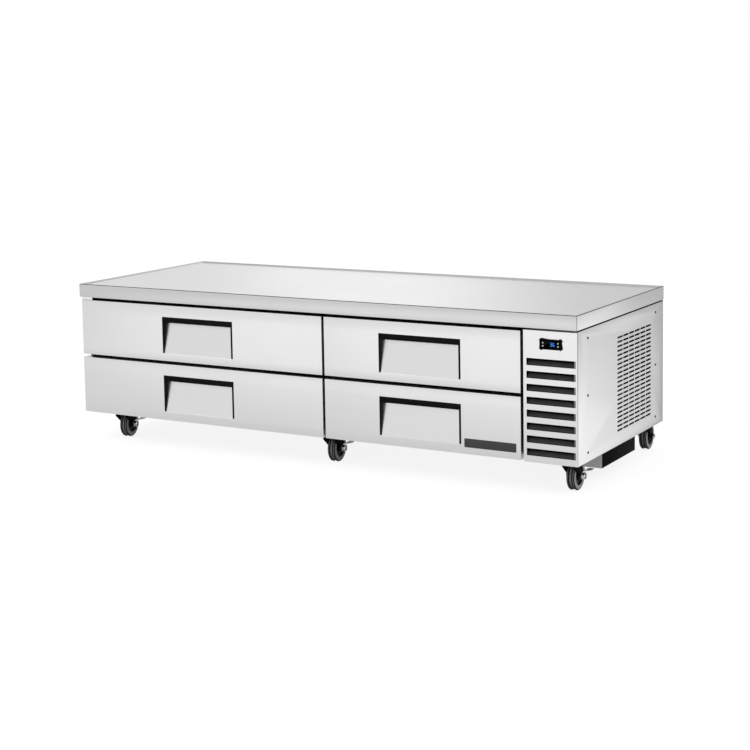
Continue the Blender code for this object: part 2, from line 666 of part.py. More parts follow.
def build_front_frame():
    """Make the black frame that the gaskets close on, with one opening for each drawer."""
    blank = boxes(
        (
            (FOAM_LEFT_X, FRAME_FACE_Y, BASE_TOP + SEAT_GAP),
            (FOAM_RIGHT_X, FRAME_BACK_Y, CORE_BOTTOM - SEAT_GAP),
        )
    )
    frame = make_object("front_frame", blank, BLACK_PLASTIC)
    openings = [
        (
            (bank.cavity[0], FRAME_FACE_Y - OVERRUN, level.opening[0]),
            (bank.cavity[1], FRAME_BACK_Y + OVERRUN, level.opening[1]),
        )
        for bank in BANKS.values()
        for level in LEVELS.values()
    ]
    combine(frame, boxes(*openings), "DIFFERENCE", "openings")


def build_end_panel():
    """Fold the left end panel, with the front flange that shows over the upper drawer."""
    inner_x = LEFT_X + PANEL_SHEET
    tab_y = FRONT_Y + END_TAB_SETBACK
    tab_z = UPPER_FRONT_TOP + END_TAB_GAP
    top_z = CORE_BOTTOM - SEAT_GAP
    panel = make_object(
        "end_panel_left",
        boxes(((LEFT_X, FRAME_FACE_Y, SKIRT_CLEARANCE), (inner_x, BACK_FACE_Y, top_z))),
        STAINLESS,
    )
    folds = boxes(
        ((LEFT_X, tab_y, tab_z), (inner_x, FRAME_FACE_Y + FLANGE_WIDTH, top_z)),
        ((LEFT_X, tab_y, tab_z), (LEFT_X + END_TAB_WIDTH, tab_y + PANEL_SHEET, top_z)),
        (
            (LEFT_X, FRAME_FACE_Y, SKIRT_CLEARANCE),
            (LEFT_X + FLANGE_WIDTH, BACK_FACE_Y, SKIRT_CLEARANCE + PANEL_SHEET),
        ),
    )
    combine(panel, folds, "UNION", "folds")


def build_back_panel():
    """Make the back panel, with the machine compartment's vents and the hole for the cord gland."""
    panel = make_object(
        "back_panel",
        boxes(((LEFT_X, REAR_Y - PANEL_SHEET, SKIRT_CLEARANCE), (RIGHT_X, REAR_Y, CARCASS_TOP))),
        GALVANISED,
    )
    cuts = bmesh.new()
    for row in range(REAR_VENT_COUNT):
        bottom = REAR_VENT_BOTTOM_Z + row * REAR_VENT_PITCH
        add_box(
            cuts,
            (MACHINE_CENTRE_X - REAR_VENT_WIDTH / 2, REAR_Y - PANEL_SHEET - OVERRUN, bottom),
            (MACHINE_CENTRE_X + REAR_VENT_WIDTH / 2, REAR_Y + OVERRUN, bottom + REAR_VENT_HEIGHT),
        )
    hole_start = (MACHINE_CENTRE_X, REAR_Y - PANEL_SHEET - OVERRUN, GLAND_Z)
    add_rod(cuts, hole_start, (MACHINE_CENTRE_X, REAR_Y + OVERRUN, GLAND_Z), GLAND_HOLE_RADIUS, ROUND_SIDES)
    combine(panel, cuts, "DIFFERENCE", "vents")


def build_base_pan():
    """Make the base pan, cut out for the tray, and the bulkhead that stands on it."""
    rear_y = BACK_FACE_Y - PANEL_SHEET - SEAT_GAP
    pan = make_object(
        "base_pan",
        boxes(((FOAM_LEFT_X, FRAME_FACE_Y, BASE_Z), (RIGHT_X - PANEL_SHEET - SEAT_GAP, rear_y, BASE_TOP))),
        GALVANISED,
    )
    hole = (
        (TRAY_LEFT_X - TRAY_SEAT, TRAY_FRONT_Y - TRAY_SEAT, BASE_Z - OVERRUN),
        (TRAY_RIGHT_X + TRAY_SEAT, TRAY_REAR_Y + TRAY_SEAT, BASE_TOP + OVERRUN),
    )
    combine(pan, boxes(hole), "DIFFERENCE", "tray_hole")
    low = (BULKHEAD_X, FRAME_FACE_Y, BASE_TOP + SEAT_GAP)
    high = (BULKHEAD_X + PANEL_SHEET, BACK_FACE_Y, CORE_BOTTOM - SEAT_GAP)
    make_object("bulkhead", boxes((low, high)), GALVANISED)


def build_castor_rails():
    """Make the two channels under the base pan that the castors' stems pass into."""
    top = CASTOR_OVERALL - SEAT_GAP
    half = CASTOR_RAIL_WIDTH / 2
    for row, y in (("front", CASTOR_FRONT_Y), ("rear", CASTOR_REAR_Y)):
        rail = bmesh.new()
        outline = [
            (y - half, top),
            (y - half, top - CASTOR_RAIL_SHEET - CASTOR_RAIL_LIP),
            (y - half + CASTOR_RAIL_SHEET, top - CASTOR_RAIL_SHEET - CASTOR_RAIL_LIP),
            (y - half + CASTOR_RAIL_SHEET, top - CASTOR_RAIL_SHEET),
            (y + half - CASTOR_RAIL_SHEET, top - CASTOR_RAIL_SHEET),
            (y + half - CASTOR_RAIL_SHEET, top - CASTOR_RAIL_SHEET - CASTOR_RAIL_LIP),
            (y + half, top - CASTOR_RAIL_SHEET - CASTOR_RAIL_LIP),
            (y + half, top),
        ]
        add_prism(rail, outline, 0, FOAM_LEFT_X, RIGHT_X - PANEL_SHEET - SEAT_GAP)
        make_object(f"castor_rail_{row}", rail, BLACK_STEEL)


def build_tray():
    """Make the tray that hangs in the base pan by its flange and carries the compressor."""
    left, right = TRAY_LEFT_X, TRAY_RIGHT_X
    rim_z = BASE_TOP + SEAT_GAP
    tray = make_object(
        "condensing_unit_tray",
        boxes(((left, TRAY_FRONT_Y, TRAY_FLOOR_Z), (right, TRAY_REAR_Y, rim_z + TRAY_SHEET))),
        BLACK_STEEL,
    )
    rim = (
        (left - TRAY_FLANGE, TRAY_FRONT_Y - TRAY_FLANGE, rim_z),
        (right + TRAY_FLANGE, TRAY_REAR_Y + TRAY_FLANGE, rim_z + TRAY_SHEET),
    )
    combine(tray, boxes(rim), "UNION", "rim")
    hollow = (
        (left + TRAY_SHEET, TRAY_FRONT_Y + TRAY_SHEET, TRAY_FLOOR_Z + TRAY_SHEET),
        (right - TRAY_SHEET, TRAY_REAR_Y - TRAY_SHEET, rim_z + TRAY_SHEET + OVERRUN),
    )
    combine(tray, boxes(hollow), "DIFFERENCE", "hollow")


def build_side_panel():
    """Fold the right side panel and cut its rows of slots and its screw holes."""
    inner_x = RIGHT_X - PANEL_SHEET
    front_y = SIDE_PANEL_FRONT_Y
    top_z = SIDE_PANEL_TOP
    flange_x = inner_x - FLANGE_WIDTH
    panel = make_object(
        "side_panel_right",
        boxes(((flange_x, front_y, SKIRT_CLEARANCE), (RIGHT_X, BACK_FACE_Y, top_z))),
        STAINLESS,
    )
    hollow = (
        (flange_x - OVERRUN, front_y + PANEL_SHEET, SKIRT_CLEARANCE + PANEL_SHEET),
        (inner_x, BACK_FACE_Y - PANEL_SHEET, top_z - PANEL_SHEET),
    )
    combine(panel, boxes(hollow), "DIFFERENCE", "hollow")
    slot_length = (GRILLE_WIDTH - (GRILLE_SLOTS - 1) * GRILLE_WEB) / GRILLE_SLOTS
    cuts = bmesh.new()
    for row in range(GRILLE_ROWS):
        middle = GRILLE_TOP_Z - row * GRILLE_ROW_PITCH
        for column in range(GRILLE_SLOTS):
            start = GRILLE_FRONT_Y + column * (slot_length + GRILLE_WEB)
            add_box(
                cuts,
                (inner_x - OVERRUN, start, middle - GRILLE_SLOT_HEIGHT / 2),
                (RIGHT_X + OVERRUN, start + slot_length, middle + GRILLE_SLOT_HEIGHT / 2),
            )
    for y in SCREW_COLUMNS_Y:
        for z in SCREW_ROWS_Z:
            add_rod(cuts, (inner_x - OVERRUN, y, z), (RIGHT_X + OVERRUN, y, z), SCREW_HOLE_RADIUS)
    combine(panel, cuts, "DIFFERENCE", "slots")


def build_louvre_panel():
    """Fold the front panel of the machine compartment and cut its louvres and the controller's window."""
    top_z = LOUVRE_PANEL_TOP
    back_y = FRONT_Y + PANEL_SHEET
    fold_end_x = LOUVRE_RIGHT_X - FLANGE_WIDTH - SEAT_GAP
    panel = make_object(
        "front_louvre_panel",
        boxes(((LOUVRE_LEFT_X, FRONT_Y, SKIRT_CLEARANCE), (LOUVRE_RIGHT_X, back_y, top_z))),
        STAINLESS,
    )
    corner = (LOUVRE_LEFT_X, FRONT_Y, SKIRT_CLEARANCE)
    fold_y = FRONT_Y + FLANGE_WIDTH
    folds = boxes(
        (corner, (LOUVRE_LEFT_X + PANEL_SHEET, FRONT_Y + LOUVRE_FLANGE, top_z)),
        (corner, (fold_end_x, fold_y, SKIRT_CLEARANCE + PANEL_SHEET)),
        ((LOUVRE_LEFT_X, FRONT_Y, top_z - PANEL_SHEET), (fold_end_x, fold_y, top_z)),
    )
    combine(panel, folds, "UNION", "folds")
    cuts = bmesh.new()
    for row in range(LOUVRE_COUNT):
        top = LOUVRE_TOP_Z - row * LOUVRE_PITCH
        add_box(
            cuts,
            (LOUVRE_CENTRE_X - LOUVRE_WIDTH / 2, FRONT_Y - OVERRUN, top - LOUVRE_HEIGHT),
            (LOUVRE_CENTRE_X + LOUVRE_WIDTH / 2, back_y + OVERRUN, top),
        )
    half_width = CONTROLLER_BODY_WIDTH / 2 + SEAT_GAP
    half_height = CONTROLLER_BODY_HEIGHT / 2 + SEAT_GAP
    add_box(
        cuts,
        (LOUVRE_CENTRE_X - half_width, FRONT_Y - OVERRUN, CONTROLLER_Z - half_height),
        (LOUVRE_CENTRE_X + half_width, back_y + OVERRUN, CONTROLLER_Z + half_height),
    )
    combine(panel, cuts, "DIFFERENCE", "louvres")


def key_places():
    """Return the name and the (x, z) place of each controller key."""
    places = {}
    for side, sign in (("left", -1), ("right", 1)):
        for level, rise in (("upper", 1), ("lower", -1)):
            x = LOUVRE_CENTRE_X + sign * KEY_SPREAD
            places[f"key_{level}_{side}"] = (x, CONTROLLER_Z + rise * KEY_RISE)
    return places


def build_controller():
    """Make the controller housing with four key bores, and the keys in them."""
    face_y = FRONT_Y - SEAT_GAP - BEZEL_DEPTH
    bezel = (
        (LOUVRE_CENTRE_X - BEZEL_WIDTH / 2, face_y, CONTROLLER_Z - BEZEL_HEIGHT / 2),
        (LOUVRE_CENTRE_X + BEZEL_WIDTH / 2, FRONT_Y - SEAT_GAP, CONTROLLER_Z + BEZEL_HEIGHT / 2),
    )
    body = (
        (
            LOUVRE_CENTRE_X - CONTROLLER_BODY_WIDTH / 2,
            face_y + BEZEL_DEPTH / 2,
            CONTROLLER_Z - CONTROLLER_BODY_HEIGHT / 2,
        ),
        (
            LOUVRE_CENTRE_X + CONTROLLER_BODY_WIDTH / 2,
            FRONT_Y + CONTROLLER_BODY_DEPTH,
            CONTROLLER_Z + CONTROLLER_BODY_HEIGHT / 2,
        ),
    )
    housing = make_object("controller_housing", boxes(bezel), BLACK_PLASTIC)
    combine(housing, boxes(body), "UNION", "body")
    bores = bmesh.new()
    for x, z in key_places().values():
        bore = KEY_RADIUS + KEY_CLEARANCE
        add_rod(bores, (x, face_y - OVERRUN, z), (x, face_y + KEY_BORE_DEPTH, z), bore)
    combine(housing, bores, "DIFFERENCE", "bores")
    for name, (x, z) in key_places().items():
        mesh = bmesh.new()
        add_rod(mesh, (x, face_y - KEY_PROUD, z), (x, face_y - KEY_PROUD + KEY_LENGTH, z), KEY_RADIUS)
        shade_round(make_object(name, mesh, KEY_WHITE, pivot=(x, face_y, z)))


def build_drawer_front(name, bank, level):
    """Make a drawer's foamed front, with the sloped finger pocket cut into its face."""
    front = make_object(
        name,
        boxes(((bank.front[0], FRONT_Y, level.front[0]), (bank.front[1], DRAWER_BACK_Y, level.front[1]))),
        STAINLESS,
        pivot=(sum(bank.front) / 2, FRONT_Y, sum(level.front) / 2),
    )
    centre = sum(bank.front) / 2
    top = level.front[1] - POCKET_DROP
    bottom = top - POCKET_HEIGHT
    outside = FRONT_Y - OVERRUN
    wedge = [(outside, bottom), (FRONT_Y, bottom), (FRONT_Y + POCKET_DEPTH, top), (outside, top)]
    pocket = bmesh.new()
    add_prism(pocket, wedge, 0, centre - POCKET_WIDTH / 2, centre + POCKET_WIDTH / 2)
    combine(front, pocket, "DIFFERENCE", "pocket")
    return front


def build_pull(name, bank, level, parent):
    """Make a drawer's black pull: a bar across the top of the pocket and a wedge cheek at each side."""
    centre = sum(bank.front) / 2
    top = level.front[1] - POCKET_DROP - SEAT_GAP
    bottom = level.front[1] - POCKET_DROP - POCKET_HEIGHT + SEAT_GAP
    half = POCKET_WIDTH / 2 - SEAT_GAP
    face = FRONT_Y - PULL_PROUD
    bar = (centre - half, face, top - PULL_BAR_HEIGHT), (centre + half, face + PULL_BAR_DEPTH, top)
    pull = make_object(name, boxes(bar), BLACK_PLASTIC, parent=parent)
    slope = FRONT_Y - CHEEK_CLEARANCE
    wedge = [(face, bottom), (slope, bottom), (slope + POCKET_DEPTH, top), (face, top)]
    cheeks = bmesh.new()
    add_prism(cheeks, wedge, 0, centre - half, centre - half + CHEEK_WIDTH)
    add_prism(cheeks, wedge, 0, centre + half - CHEEK_WIDTH, centre + half)
    combine(pull, cheeks, "UNION", "cheeks")


def build_gasket(name, bank, level, parent):
    """Make a drawer's gasket, a ring that closes on the front frame."""
    outer = GASKET_OFFSET + GASKET_WIDTH
    start = DRAWER_BACK_Y + SEAT_GAP
    end = DRAWER_BACK_Y + GASKET_DEPTH
    left, right = bank.cavity
    bottom, top = level.opening
    ring = (left - outer, start, bottom - outer), (right + outer, end, top + outer)
    hole = (
        (left - GASKET_OFFSET, start - OVERRUN, bottom - GASKET_OFFSET),
        (right + GASKET_OFFSET, end + OVERRUN, top + GASKET_OFFSET),
    )
    gasket = make_object(name, boxes(ring), GASKET_GREY, parent=parent)
    combine(gasket, boxes(hole), "DIFFERENCE", "hole")


def track_middle_z(level):
    """Return the height of a drawer's tracks."""
    return level.opening[1] - CARRIER_HEADROOM - TRACK_DROP


def well_corners(bank, deck_z):
    """Return a cutter box for each pan well of a bank."""
    span = bank.wells * WELL_WIDTH + (bank.wells - 1) * WELL_DIVIDER
    start = sum(bank.cavity) / 2 - span / 2
    front = DRAWER_BACK_Y + WELL_FRONT_MARGIN
    corners = []
    for well in range(bank.wells):
        left = start + well * (WELL_WIDTH + WELL_DIVIDER)
        low = (left, front, deck_z - OVERRUN)
        high = (left + WELL_WIDTH, front + WELL_LENGTH, deck_z + CARRIER_SHEET + OVERRUN)
        corners.append((low, high))
    return corners


def build_carrier(name, bank, level, parent):
    """Make the folded frame that holds a drawer's pans. Flanges along its sides run in the tracks."""
    left = bank.cavity[0] + TRACK_SPACE
    right = bank.cavity[1] - TRACK_SPACE
    front = DRAWER_BACK_Y + SEAT_GAP
    top = level.opening[1] - CARRIER_HEADROOM
    bottom = top - CARRIER_SKIRT
    deck_z = top - CARRIER_SHEET
    deck = (left, front, deck_z), (right, CARRIER_REAR_Y, top)
    carrier = make_object(name, boxes(deck), STAINLESS, parent=parent)
    walls = boxes(
        ((left, front, bottom), (left + CARRIER_SHEET, RAIL_REAR_Y, top)),
        ((right - CARRIER_SHEET, front, bottom), (right, RAIL_REAR_Y, top)),
        ((left, front, bottom), (right, front + CARRIER_SHEET, top)),
        ((left, CARRIER_REAR_Y - CARRIER_SHEET, bottom), (right, CARRIER_REAR_Y, top)),
    )
    combine(carrier, walls, "UNION", "walls")
    reach = SEAT_GAP + TRACK_SHEET + RUNNING_GAP
    half = TRACK_HEIGHT / 2 - TRACK_SHEET - RUNNING_GAP
    middle = track_middle_z(level)
    flanges = bmesh.new()
    for low in (middle - half, middle + half - TRACK_SHEET):
        high = low + TRACK_SHEET
        add_box(
            flanges,
            (bank.cavity[0] + reach, TRACK_FRONT_Y, low),
            (left + CARRIER_SHEET / 2, RAIL_REAR_Y - OVERRUN, high),
        )
        add_box(
            flanges,
            (right - CARRIER_SHEET / 2, TRACK_FRONT_Y, low),
            (bank.cavity[1] - reach, RAIL_REAR_Y - OVERRUN, high),
        )
    combine(carrier, flanges, "UNION", "flanges")
    combine(carrier, boxes(*well_corners(bank, deck_z)), "DIFFERENCE", "wells")


def build_tracks(name, wall_x, side):
    """Make the plate on one wall of a cavity, with a channel for each of its two drawers.

    side is 1 where the channels open towards +X, and -1 where they open towards -X.
    """
    web = SEAT_GAP + TRACK_SHEET
    reach = TRACK_REACH
    half = TRACK_HEIGHT / 2
    lower, upper = track_middle_z(LEVELS["lower"]), track_middle_z(LEVELS["upper"])
    outline = [(SEAT_GAP, upper + half), (SEAT_GAP, lower - half)]
    for middle in (lower, upper):
        outline += [
            (reach, middle - half),
            (reach, middle - half + TRACK_SHEET),
            (web, middle - half + TRACK_SHEET),
            (web, middle + half - TRACK_SHEET),
            (reach, middle + half - TRACK_SHEET),
            (reach, middle + half),
        ]
        if middle == lower:
            outline += [(web, lower + half), (web, upper - half)]
    mesh = bmesh.new()
    placed = [(wall_x + side * across, height) for across, height in outline]
    add_prism(mesh, placed, 1, TRACK_FRONT_Y, TRACK_REAR_Y)
    make_object(name, mesh, GALVANISED)


def build_drawers():
    """Make the four drawers and the tracks that they run in."""
    for bank_name, bank in BANKS.items():
        build_tracks(f"{bank_name}_bank_left_tracks", bank.cavity[0], 1)
        build_tracks(f"{bank_name}_bank_right_tracks", bank.cavity[1], -1)
        for level_name, level in LEVELS.items():
            label = f"{level_name}_{bank_name}"
            front = build_drawer_front(f"{label}_drawer_front", bank, level)
            build_pull(f"{label}_drawer_pull", bank, level, front)
            build_gasket(f"{label}_drawer_gasket", bank, level, front)
            build_carrier(f"{label}_drawer_carrier", bank, level, front)


def build_compressor():
    """Make the compressor: a domed shell on a plate with four feet, and two pipe stubs."""
    centre_x = (TRAY_LEFT_X + TRAY_RIGHT_X) / 2
    floor = TRAY_FLOOR_Z + TRAY_SHEET + SEAT_GAP
    plate_z = floor + COMPRESSOR_FOOT_HEIGHT
    shell_z = plate_z + COMPRESSOR_PLATE_SHEET / 2
    shoulder = COMPRESSOR_HEIGHT * COMPRESSOR_SHOULDER_SHARE
    neck = COMPRESSOR_RADIUS * COMPRESSOR_NECK_SHARE
    profile = [
        (0.0, 0.0),
        (0.0, neck),
        (shoulder, COMPRESSOR_RADIUS),
        (COMPRESSOR_HEIGHT - shoulder, COMPRESSOR_RADIUS),
        (COMPRESSOR_HEIGHT, neck),
        (COMPRESSOR_HEIGHT + shoulder / 2, 0.0),
    ]
    shell = make_object("compressor", turned(profile, 2, (centre_x, COMPRESSOR_Y, shell_z)), BLACK_STEEL)
    half_x, half_y = COMPRESSOR_PLATE_WIDTH / 2, COMPRESSOR_PLATE_LENGTH / 2
    low = (centre_x - half_x, COMPRESSOR_Y - half_y, plate_z)
    high = (centre_x + half_x, COMPRESSOR_Y + half_y, plate_z + COMPRESSOR_PLATE_SHEET)
    fittings = boxes((low, high))
    for sx in (-1, 1):
        for sy in (-1, 1):
            x = centre_x + sx * (half_x - COMPRESSOR_FOOT_MARGIN)
            y = COMPRESSOR_Y + sy * (half_y - COMPRESSOR_FOOT_MARGIN)
            top = plate_z + COMPRESSOR_PLATE_SHEET / 2
            add_rod(fittings, (x, y, floor), (x, y, top), COMPRESSOR_FOOT_RADIUS)
        x = centre_x + sx * COMPRESSOR_STUB_SPREAD
        stub = shell_z + COMPRESSOR_HEIGHT - shoulder
        add_rod(
            fittings,
            (x, COMPRESSOR_Y, stub),
            (x, COMPRESSOR_Y, shell_z + COMPRESSOR_HEIGHT + COMPRESSOR_STUB_LENGTH),
            COMPRESSOR_STUB_RADIUS,
        )
    combine(shell, fittings, "UNION", "fittings")


def fin_outline(left, right, front, back, fins, fin_share, spine_share):
    """Return the (x, y) outline of a finned block: a solid spine at the back and fins to the front."""
    pitch = (right - left) / (fins - (1 - fin_share))
    fin = pitch * fin_share
    spine = back - (back - front) * spine_share
    outline = [(right, back), (left, back)]
    for index in range(fins):
        start = left + index * pitch
        outline += [(start, front), (start + fin, front)]
        if index < fins - 1:
            outline += [(start + fin, spine), (start + pitch, spine)]
    return outline


def build_condenser():
    """Make the finned condenser that shows dark behind the louvres."""
    sides = (CONDENSER_LEFT_X, CONDENSER_RIGHT_X, CONDENSER_FRONT_Y, CONDENSER_BACK_Y)
    outline = fin_outline(*sides, CONDENSER_FINS, FIN_SHARE, SPINE_SHARE)
    mesh = bmesh.new()
    add_prism(mesh, outline, 2, BASE_TOP + SEAT_GAP, CONDENSER_TOP_Z)
    make_object("condenser_coil", mesh, COPPER_FIN)


def build_fan(name, centre, radius, hub_length, chord):
    """Make a fan: a bored hub with pitched blades, turning about Y through centre."""
    hub = turned(tube_profile(-hub_length / 2, hub_length / 2, FAN_BORE_RADIUS, FAN_HUB_RADIUS), 1, centre)
    fan = make_object(name, hub, BLACK_PLASTIC, pivot=centre)
    blades = bmesh.new()
    root = (FAN_BORE_RADIUS + FAN_HUB_RADIUS) / 2
    for index in range(FAN_BLADES):
        start = len(blades.verts)
        add_box(blades, (root, -FAN_BLADE_SHEET / 2, -chord / 2), (radius, FAN_BLADE_SHEET / 2, chord / 2))
        blades.verts.ensure_lookup_table()
        added = blades.verts[start:]
        pitch = Matrix.Rotation(math.radians(FAN_BLADE_PITCH_DEG), 4, "X")
        turn = Matrix.Rotation(index * 2 * math.pi / FAN_BLADES, 4, "Y")
        bmesh.ops.transform(blades, matrix=Matrix.Translation(centre) @ turn @ pitch, verts=added)
    combine(fan, blades, "UNION", "blades")


def build_condenser_fan():
    """Make the condenser's fan, its motor and the bracket that stands on the base pan."""
    centre = (MACHINE_CENTRE_X, FAN_Y, FAN_Z)
    build_fan("condenser_fan", centre, FAN_RADIUS, FAN_HUB_LENGTH, FAN_BLADE_CHORD)
    rear = MOTOR_FRONT_Y + MOTOR_LENGTH
    shaft = FAN_BORE_RADIUS - MOTOR_SHAFT_CLEARANCE
    shaft_end = FAN_Y - FAN_HUB_LENGTH / 2
    profile = [
        (shaft_end, 0.0),
        (shaft_end, shaft),
        (MOTOR_FRONT_Y, shaft),
        (MOTOR_FRONT_Y, MOTOR_RADIUS),
        (rear, MOTOR_RADIUS),
        (rear, 0.0),
    ]
    body = turned(profile, 1, (MACHINE_CENTRE_X, 0.0, FAN_Z))
    motor = make_object("condenser_fan_motor", body, BLACK_STEEL)
    middle = (MOTOR_FRONT_Y + rear) / 2
    foot_z = BASE_TOP + SEAT_GAP
    half = MOTOR_LEG_WIDTH / 2
    bracket = boxes(
        (
            (MACHINE_CENTRE_X - half, middle - MOTOR_LEG_SHEET / 2, foot_z),
            (MACHINE_CENTRE_X + half, middle + MOTOR_LEG_SHEET / 2, FAN_Z),
        ),
        (
            (MACHINE_CENTRE_X - half, middle - MOTOR_LEG_SHEET / 2, foot_z),
            (MACHINE_CENTRE_X + half, middle + MOTOR_FOOT_LENGTH, foot_z + MOTOR_LEG_SHEET),
        ),
    )
    combine(motor, bracket, "UNION", "bracket")


def build_evaporator():
    """Make the evaporator on the rear wall of the right cavity, with its fan and the fan's motor."""
    bank = BANKS["right"]
    left, right = bank.cavity[0] + EVAPORATOR_SIDE_GAP, bank.cavity[1] - EVAPORATOR_SIDE_GAP
    back = CAVITY_BACK_Y - SEAT_GAP
    front = back - EVAPORATOR_DEPTH
    outline = fin_outline(left, right, back, front, EVAPORATOR_FINS, FIN_SHARE, SPINE_SHARE)
    mesh = bmesh.new()
    add_prism(mesh, outline, 2, EVAPORATOR_BOTTOM_Z, EVAPORATOR_TOP_Z)
    coil = make_object("evaporator_coil", mesh, COPPER_FIN)
    centre_x = (left + right) / 2
    centre_z = (EVAPORATOR_BOTTOM_Z + EVAPORATOR_TOP_Z) / 2
    motor_front = front - EVAPORATOR_MOTOR_LENGTH
    fan_y = motor_front - EVAPORATOR_SHAFT_LENGTH + EVAPORATOR_FAN_HUB_LENGTH / 2
    motor = bmesh.new()
    axis_point = (centre_x, 0.0, centre_z)
    profile = [
        (motor_front - EVAPORATOR_SHAFT_LENGTH, 0.0),
        (motor_front - EVAPORATOR_SHAFT_LENGTH, FAN_BORE_RADIUS - MOTOR_SHAFT_CLEARANCE),
        (motor_front, FAN_BORE_RADIUS - MOTOR_SHAFT_CLEARANCE),
        (motor_front, EVAPORATOR_MOTOR_RADIUS),
        (front + OVERRUN, EVAPORATOR_MOTOR_RADIUS),
        (front + OVERRUN, 0.0),
    ]
    add_turned(motor, profile, 1, axis_point, ROUND_SIDES)
    combine(coil, motor, "UNION", "motor")
    build_fan(
        "evaporator_fan",
        (centre_x, fan_y, centre_z),
        EVAPORATOR_FAN_RADIUS,
        EVAPORATOR_FAN_HUB_LENGTH,
        EVAPORATOR_FAN_CHORD,
    )


def build_gland():
    """Make the cord gland, a flanged bush in the back panel."""
    neck = GLAND_HOLE_RADIUS - SEAT_GAP
    face = REAR_Y + SEAT_GAP
    profile = [
        (face - REAR_Y - GLAND_INNER_LENGTH, GLAND_BORE_RADIUS),
        (face - REAR_Y + GLAND_FLANGE_DEPTH, GLAND_BORE_RADIUS),
        (face - REAR_Y + GLAND_FLANGE_DEPTH, (GLAND_BORE_RADIUS + GLAND_FLANGE_RADIUS) / 2),
        (face - REAR_Y, GLAND_FLANGE_RADIUS),
        (face - REAR_Y, neck * math.cos(math.pi / ROUND_SIDES)),
        (face - REAR_Y - GLAND_INNER_LENGTH, neck * math.cos(math.pi / ROUND_SIDES)),
    ]
    gland = make_object("cord_gland", turned(profile, 1, (MACHINE_CENTRE_X, REAR_Y, GLAND_Z)), BLACK_PLASTIC)
    shade_round(gland)


def arc(centre, radius, start_deg, end_deg, steps):
    """Return points along a circular arc in a plane, both ends included."""
    points = []
    for step in range(steps + 1):
        angle = math.radians(start_deg + (end_deg - start_deg) * step / steps)
        points.append((centre[0] + radius * math.cos(angle), centre[1] + radius * math.sin(angle)))
    return points


def wheel_mesh():
    """Return a castor wheel's mesh, centred on its axle, which lies along X."""
    half, hub, web = WHEEL_WIDTH / 2, WHEEL_HUB_WIDTH / 2, WHEEL_WEB_WIDTH / 2
    side = [
        (hub, WHEEL_BORE_RADIUS),
        (hub, WHEEL_HUB_RADIUS),
        (web, WHEEL_HUB_RADIUS),
        (web, WHEEL_TYRE_INNER_RADIUS),
        (half, WHEEL_TYRE_INNER_RADIUS),
        (half, WHEEL_RADIUS - WHEEL_SHOULDER),
        (half - WHEEL_SHOULDER, WHEEL_RADIUS),
    ]
    profile = side + [(-along, radius) for along, radius in reversed(side)]
    return settle(make_object("wheel_blank", turned(profile, 0, ORIGIN, WHEEL_SIDES), RUBBER))


def fork_mesh(name, braked):
    """Return a castor fork's mesh: crown, raceway, two legs and the axle bolt, about the swivel axis."""
    crown_top = CROWN_TOP
    crown_z = crown_top - FORK_CROWN_SHEET
    inner = FORK_INNER_WIDTH / 2
    outer = inner + FORK_LEG_SHEET
    half = FORK_CROWN_LENGTH / 2
    fork = make_object(name, boxes(((-outer, -half, crown_z), (outer, half, crown_top))), BLACK_STEEL)
    boss = arc((CASTOR_TRAIL, WHEEL_RADIUS), AXLE_BOSS_RADIUS, -140.0, 40.0, 6)
    shoulder_z = crown_z - FORK_SHOULDER_DROP
    leg = [(-half, shoulder_z), *boss, (half, shoulder_z), (half, crown_top), (-half, crown_top)]
    rest = bmesh.new()
    add_prism(rest, leg, 0, -outer, -inner)
    add_prism(rest, leg, 0, inner, outer)
    crown_middle = crown_top - FORK_CROWN_SHEET / 2
    add_rod(rest, (0, 0, crown_middle), (0, 0, RACEWAY_TOP), RACEWAY_RADIUS, ROUND_SIDES)
    head_start = outer - FORK_LEG_SHEET / 2
    nut_start = outer + BRAKE_SHEET + 2 * RUNNING_GAP if braked else head_start
    bolt = (
        (-AXLE_REACH, AXLE_REACH, AXLE_RADIUS, SMALL_ROUND_SIDES),
        (-NUT_END, -head_start, NUT_RADIUS, NUT_SIDES),
        (nut_start, NUT_END, NUT_RADIUS, NUT_SIDES),
    )
    for start, end, radius, sides in bolt:
        add_rod(rest, (start, CASTOR_TRAIL, WHEEL_RADIUS), (end, CASTOR_TRAIL, WHEEL_RADIUS), radius, sides)
    combine(fork, rest, "UNION", "rest")
    return settle(fork)


def brake_mesh():
    """Return a brake lever's mesh about the axle: a pierced arm with a toe tab bent outwards."""
    start = FORK_INNER_WIDTH / 2 + FORK_LEG_SHEET + RUNNING_GAP
    arm = [
        *arc((0.0, 0.0), AXLE_BOSS_RADIUS, 110.0, 320.0, 7),
        (BRAKE_TAB_START, BRAKE_TAB_RISE / 2),
        (BRAKE_ARM_LENGTH, BRAKE_TAB_RISE - BRAKE_SHEET),
        (BRAKE_ARM_LENGTH, BRAKE_TAB_RISE + BRAKE_SHEET),
        (BRAKE_TAB_START, BRAKE_TAB_RISE + BRAKE_SHEET),
    ]
    plate = bmesh.new()
    add_prism(plate, arm, 0, start, start + BRAKE_SHEET)
    lever = make_object("brake_blank", plate, ZINC)
    tab = (
        (start + BRAKE_SHEET / 2, BRAKE_TAB_START + BRAKE_SHEET, BRAKE_TAB_RISE),
        (start + BRAKE_TAB_WIDTH, BRAKE_ARM_LENGTH, BRAKE_TAB_RISE + BRAKE_SHEET),
    )
    combine(lever, boxes(tab), "UNION", "tab")
    hole = bmesh.new()
    hole_end = (start + BRAKE_SHEET + OVERRUN, 0, 0)
    add_rod(hole, (start - OVERRUN, 0, 0), hole_end, BRAKE_HOLE_RADIUS, ROUND_SIDES)
    combine(lever, hole, "DIFFERENCE", "hole")
    return settle(lever)


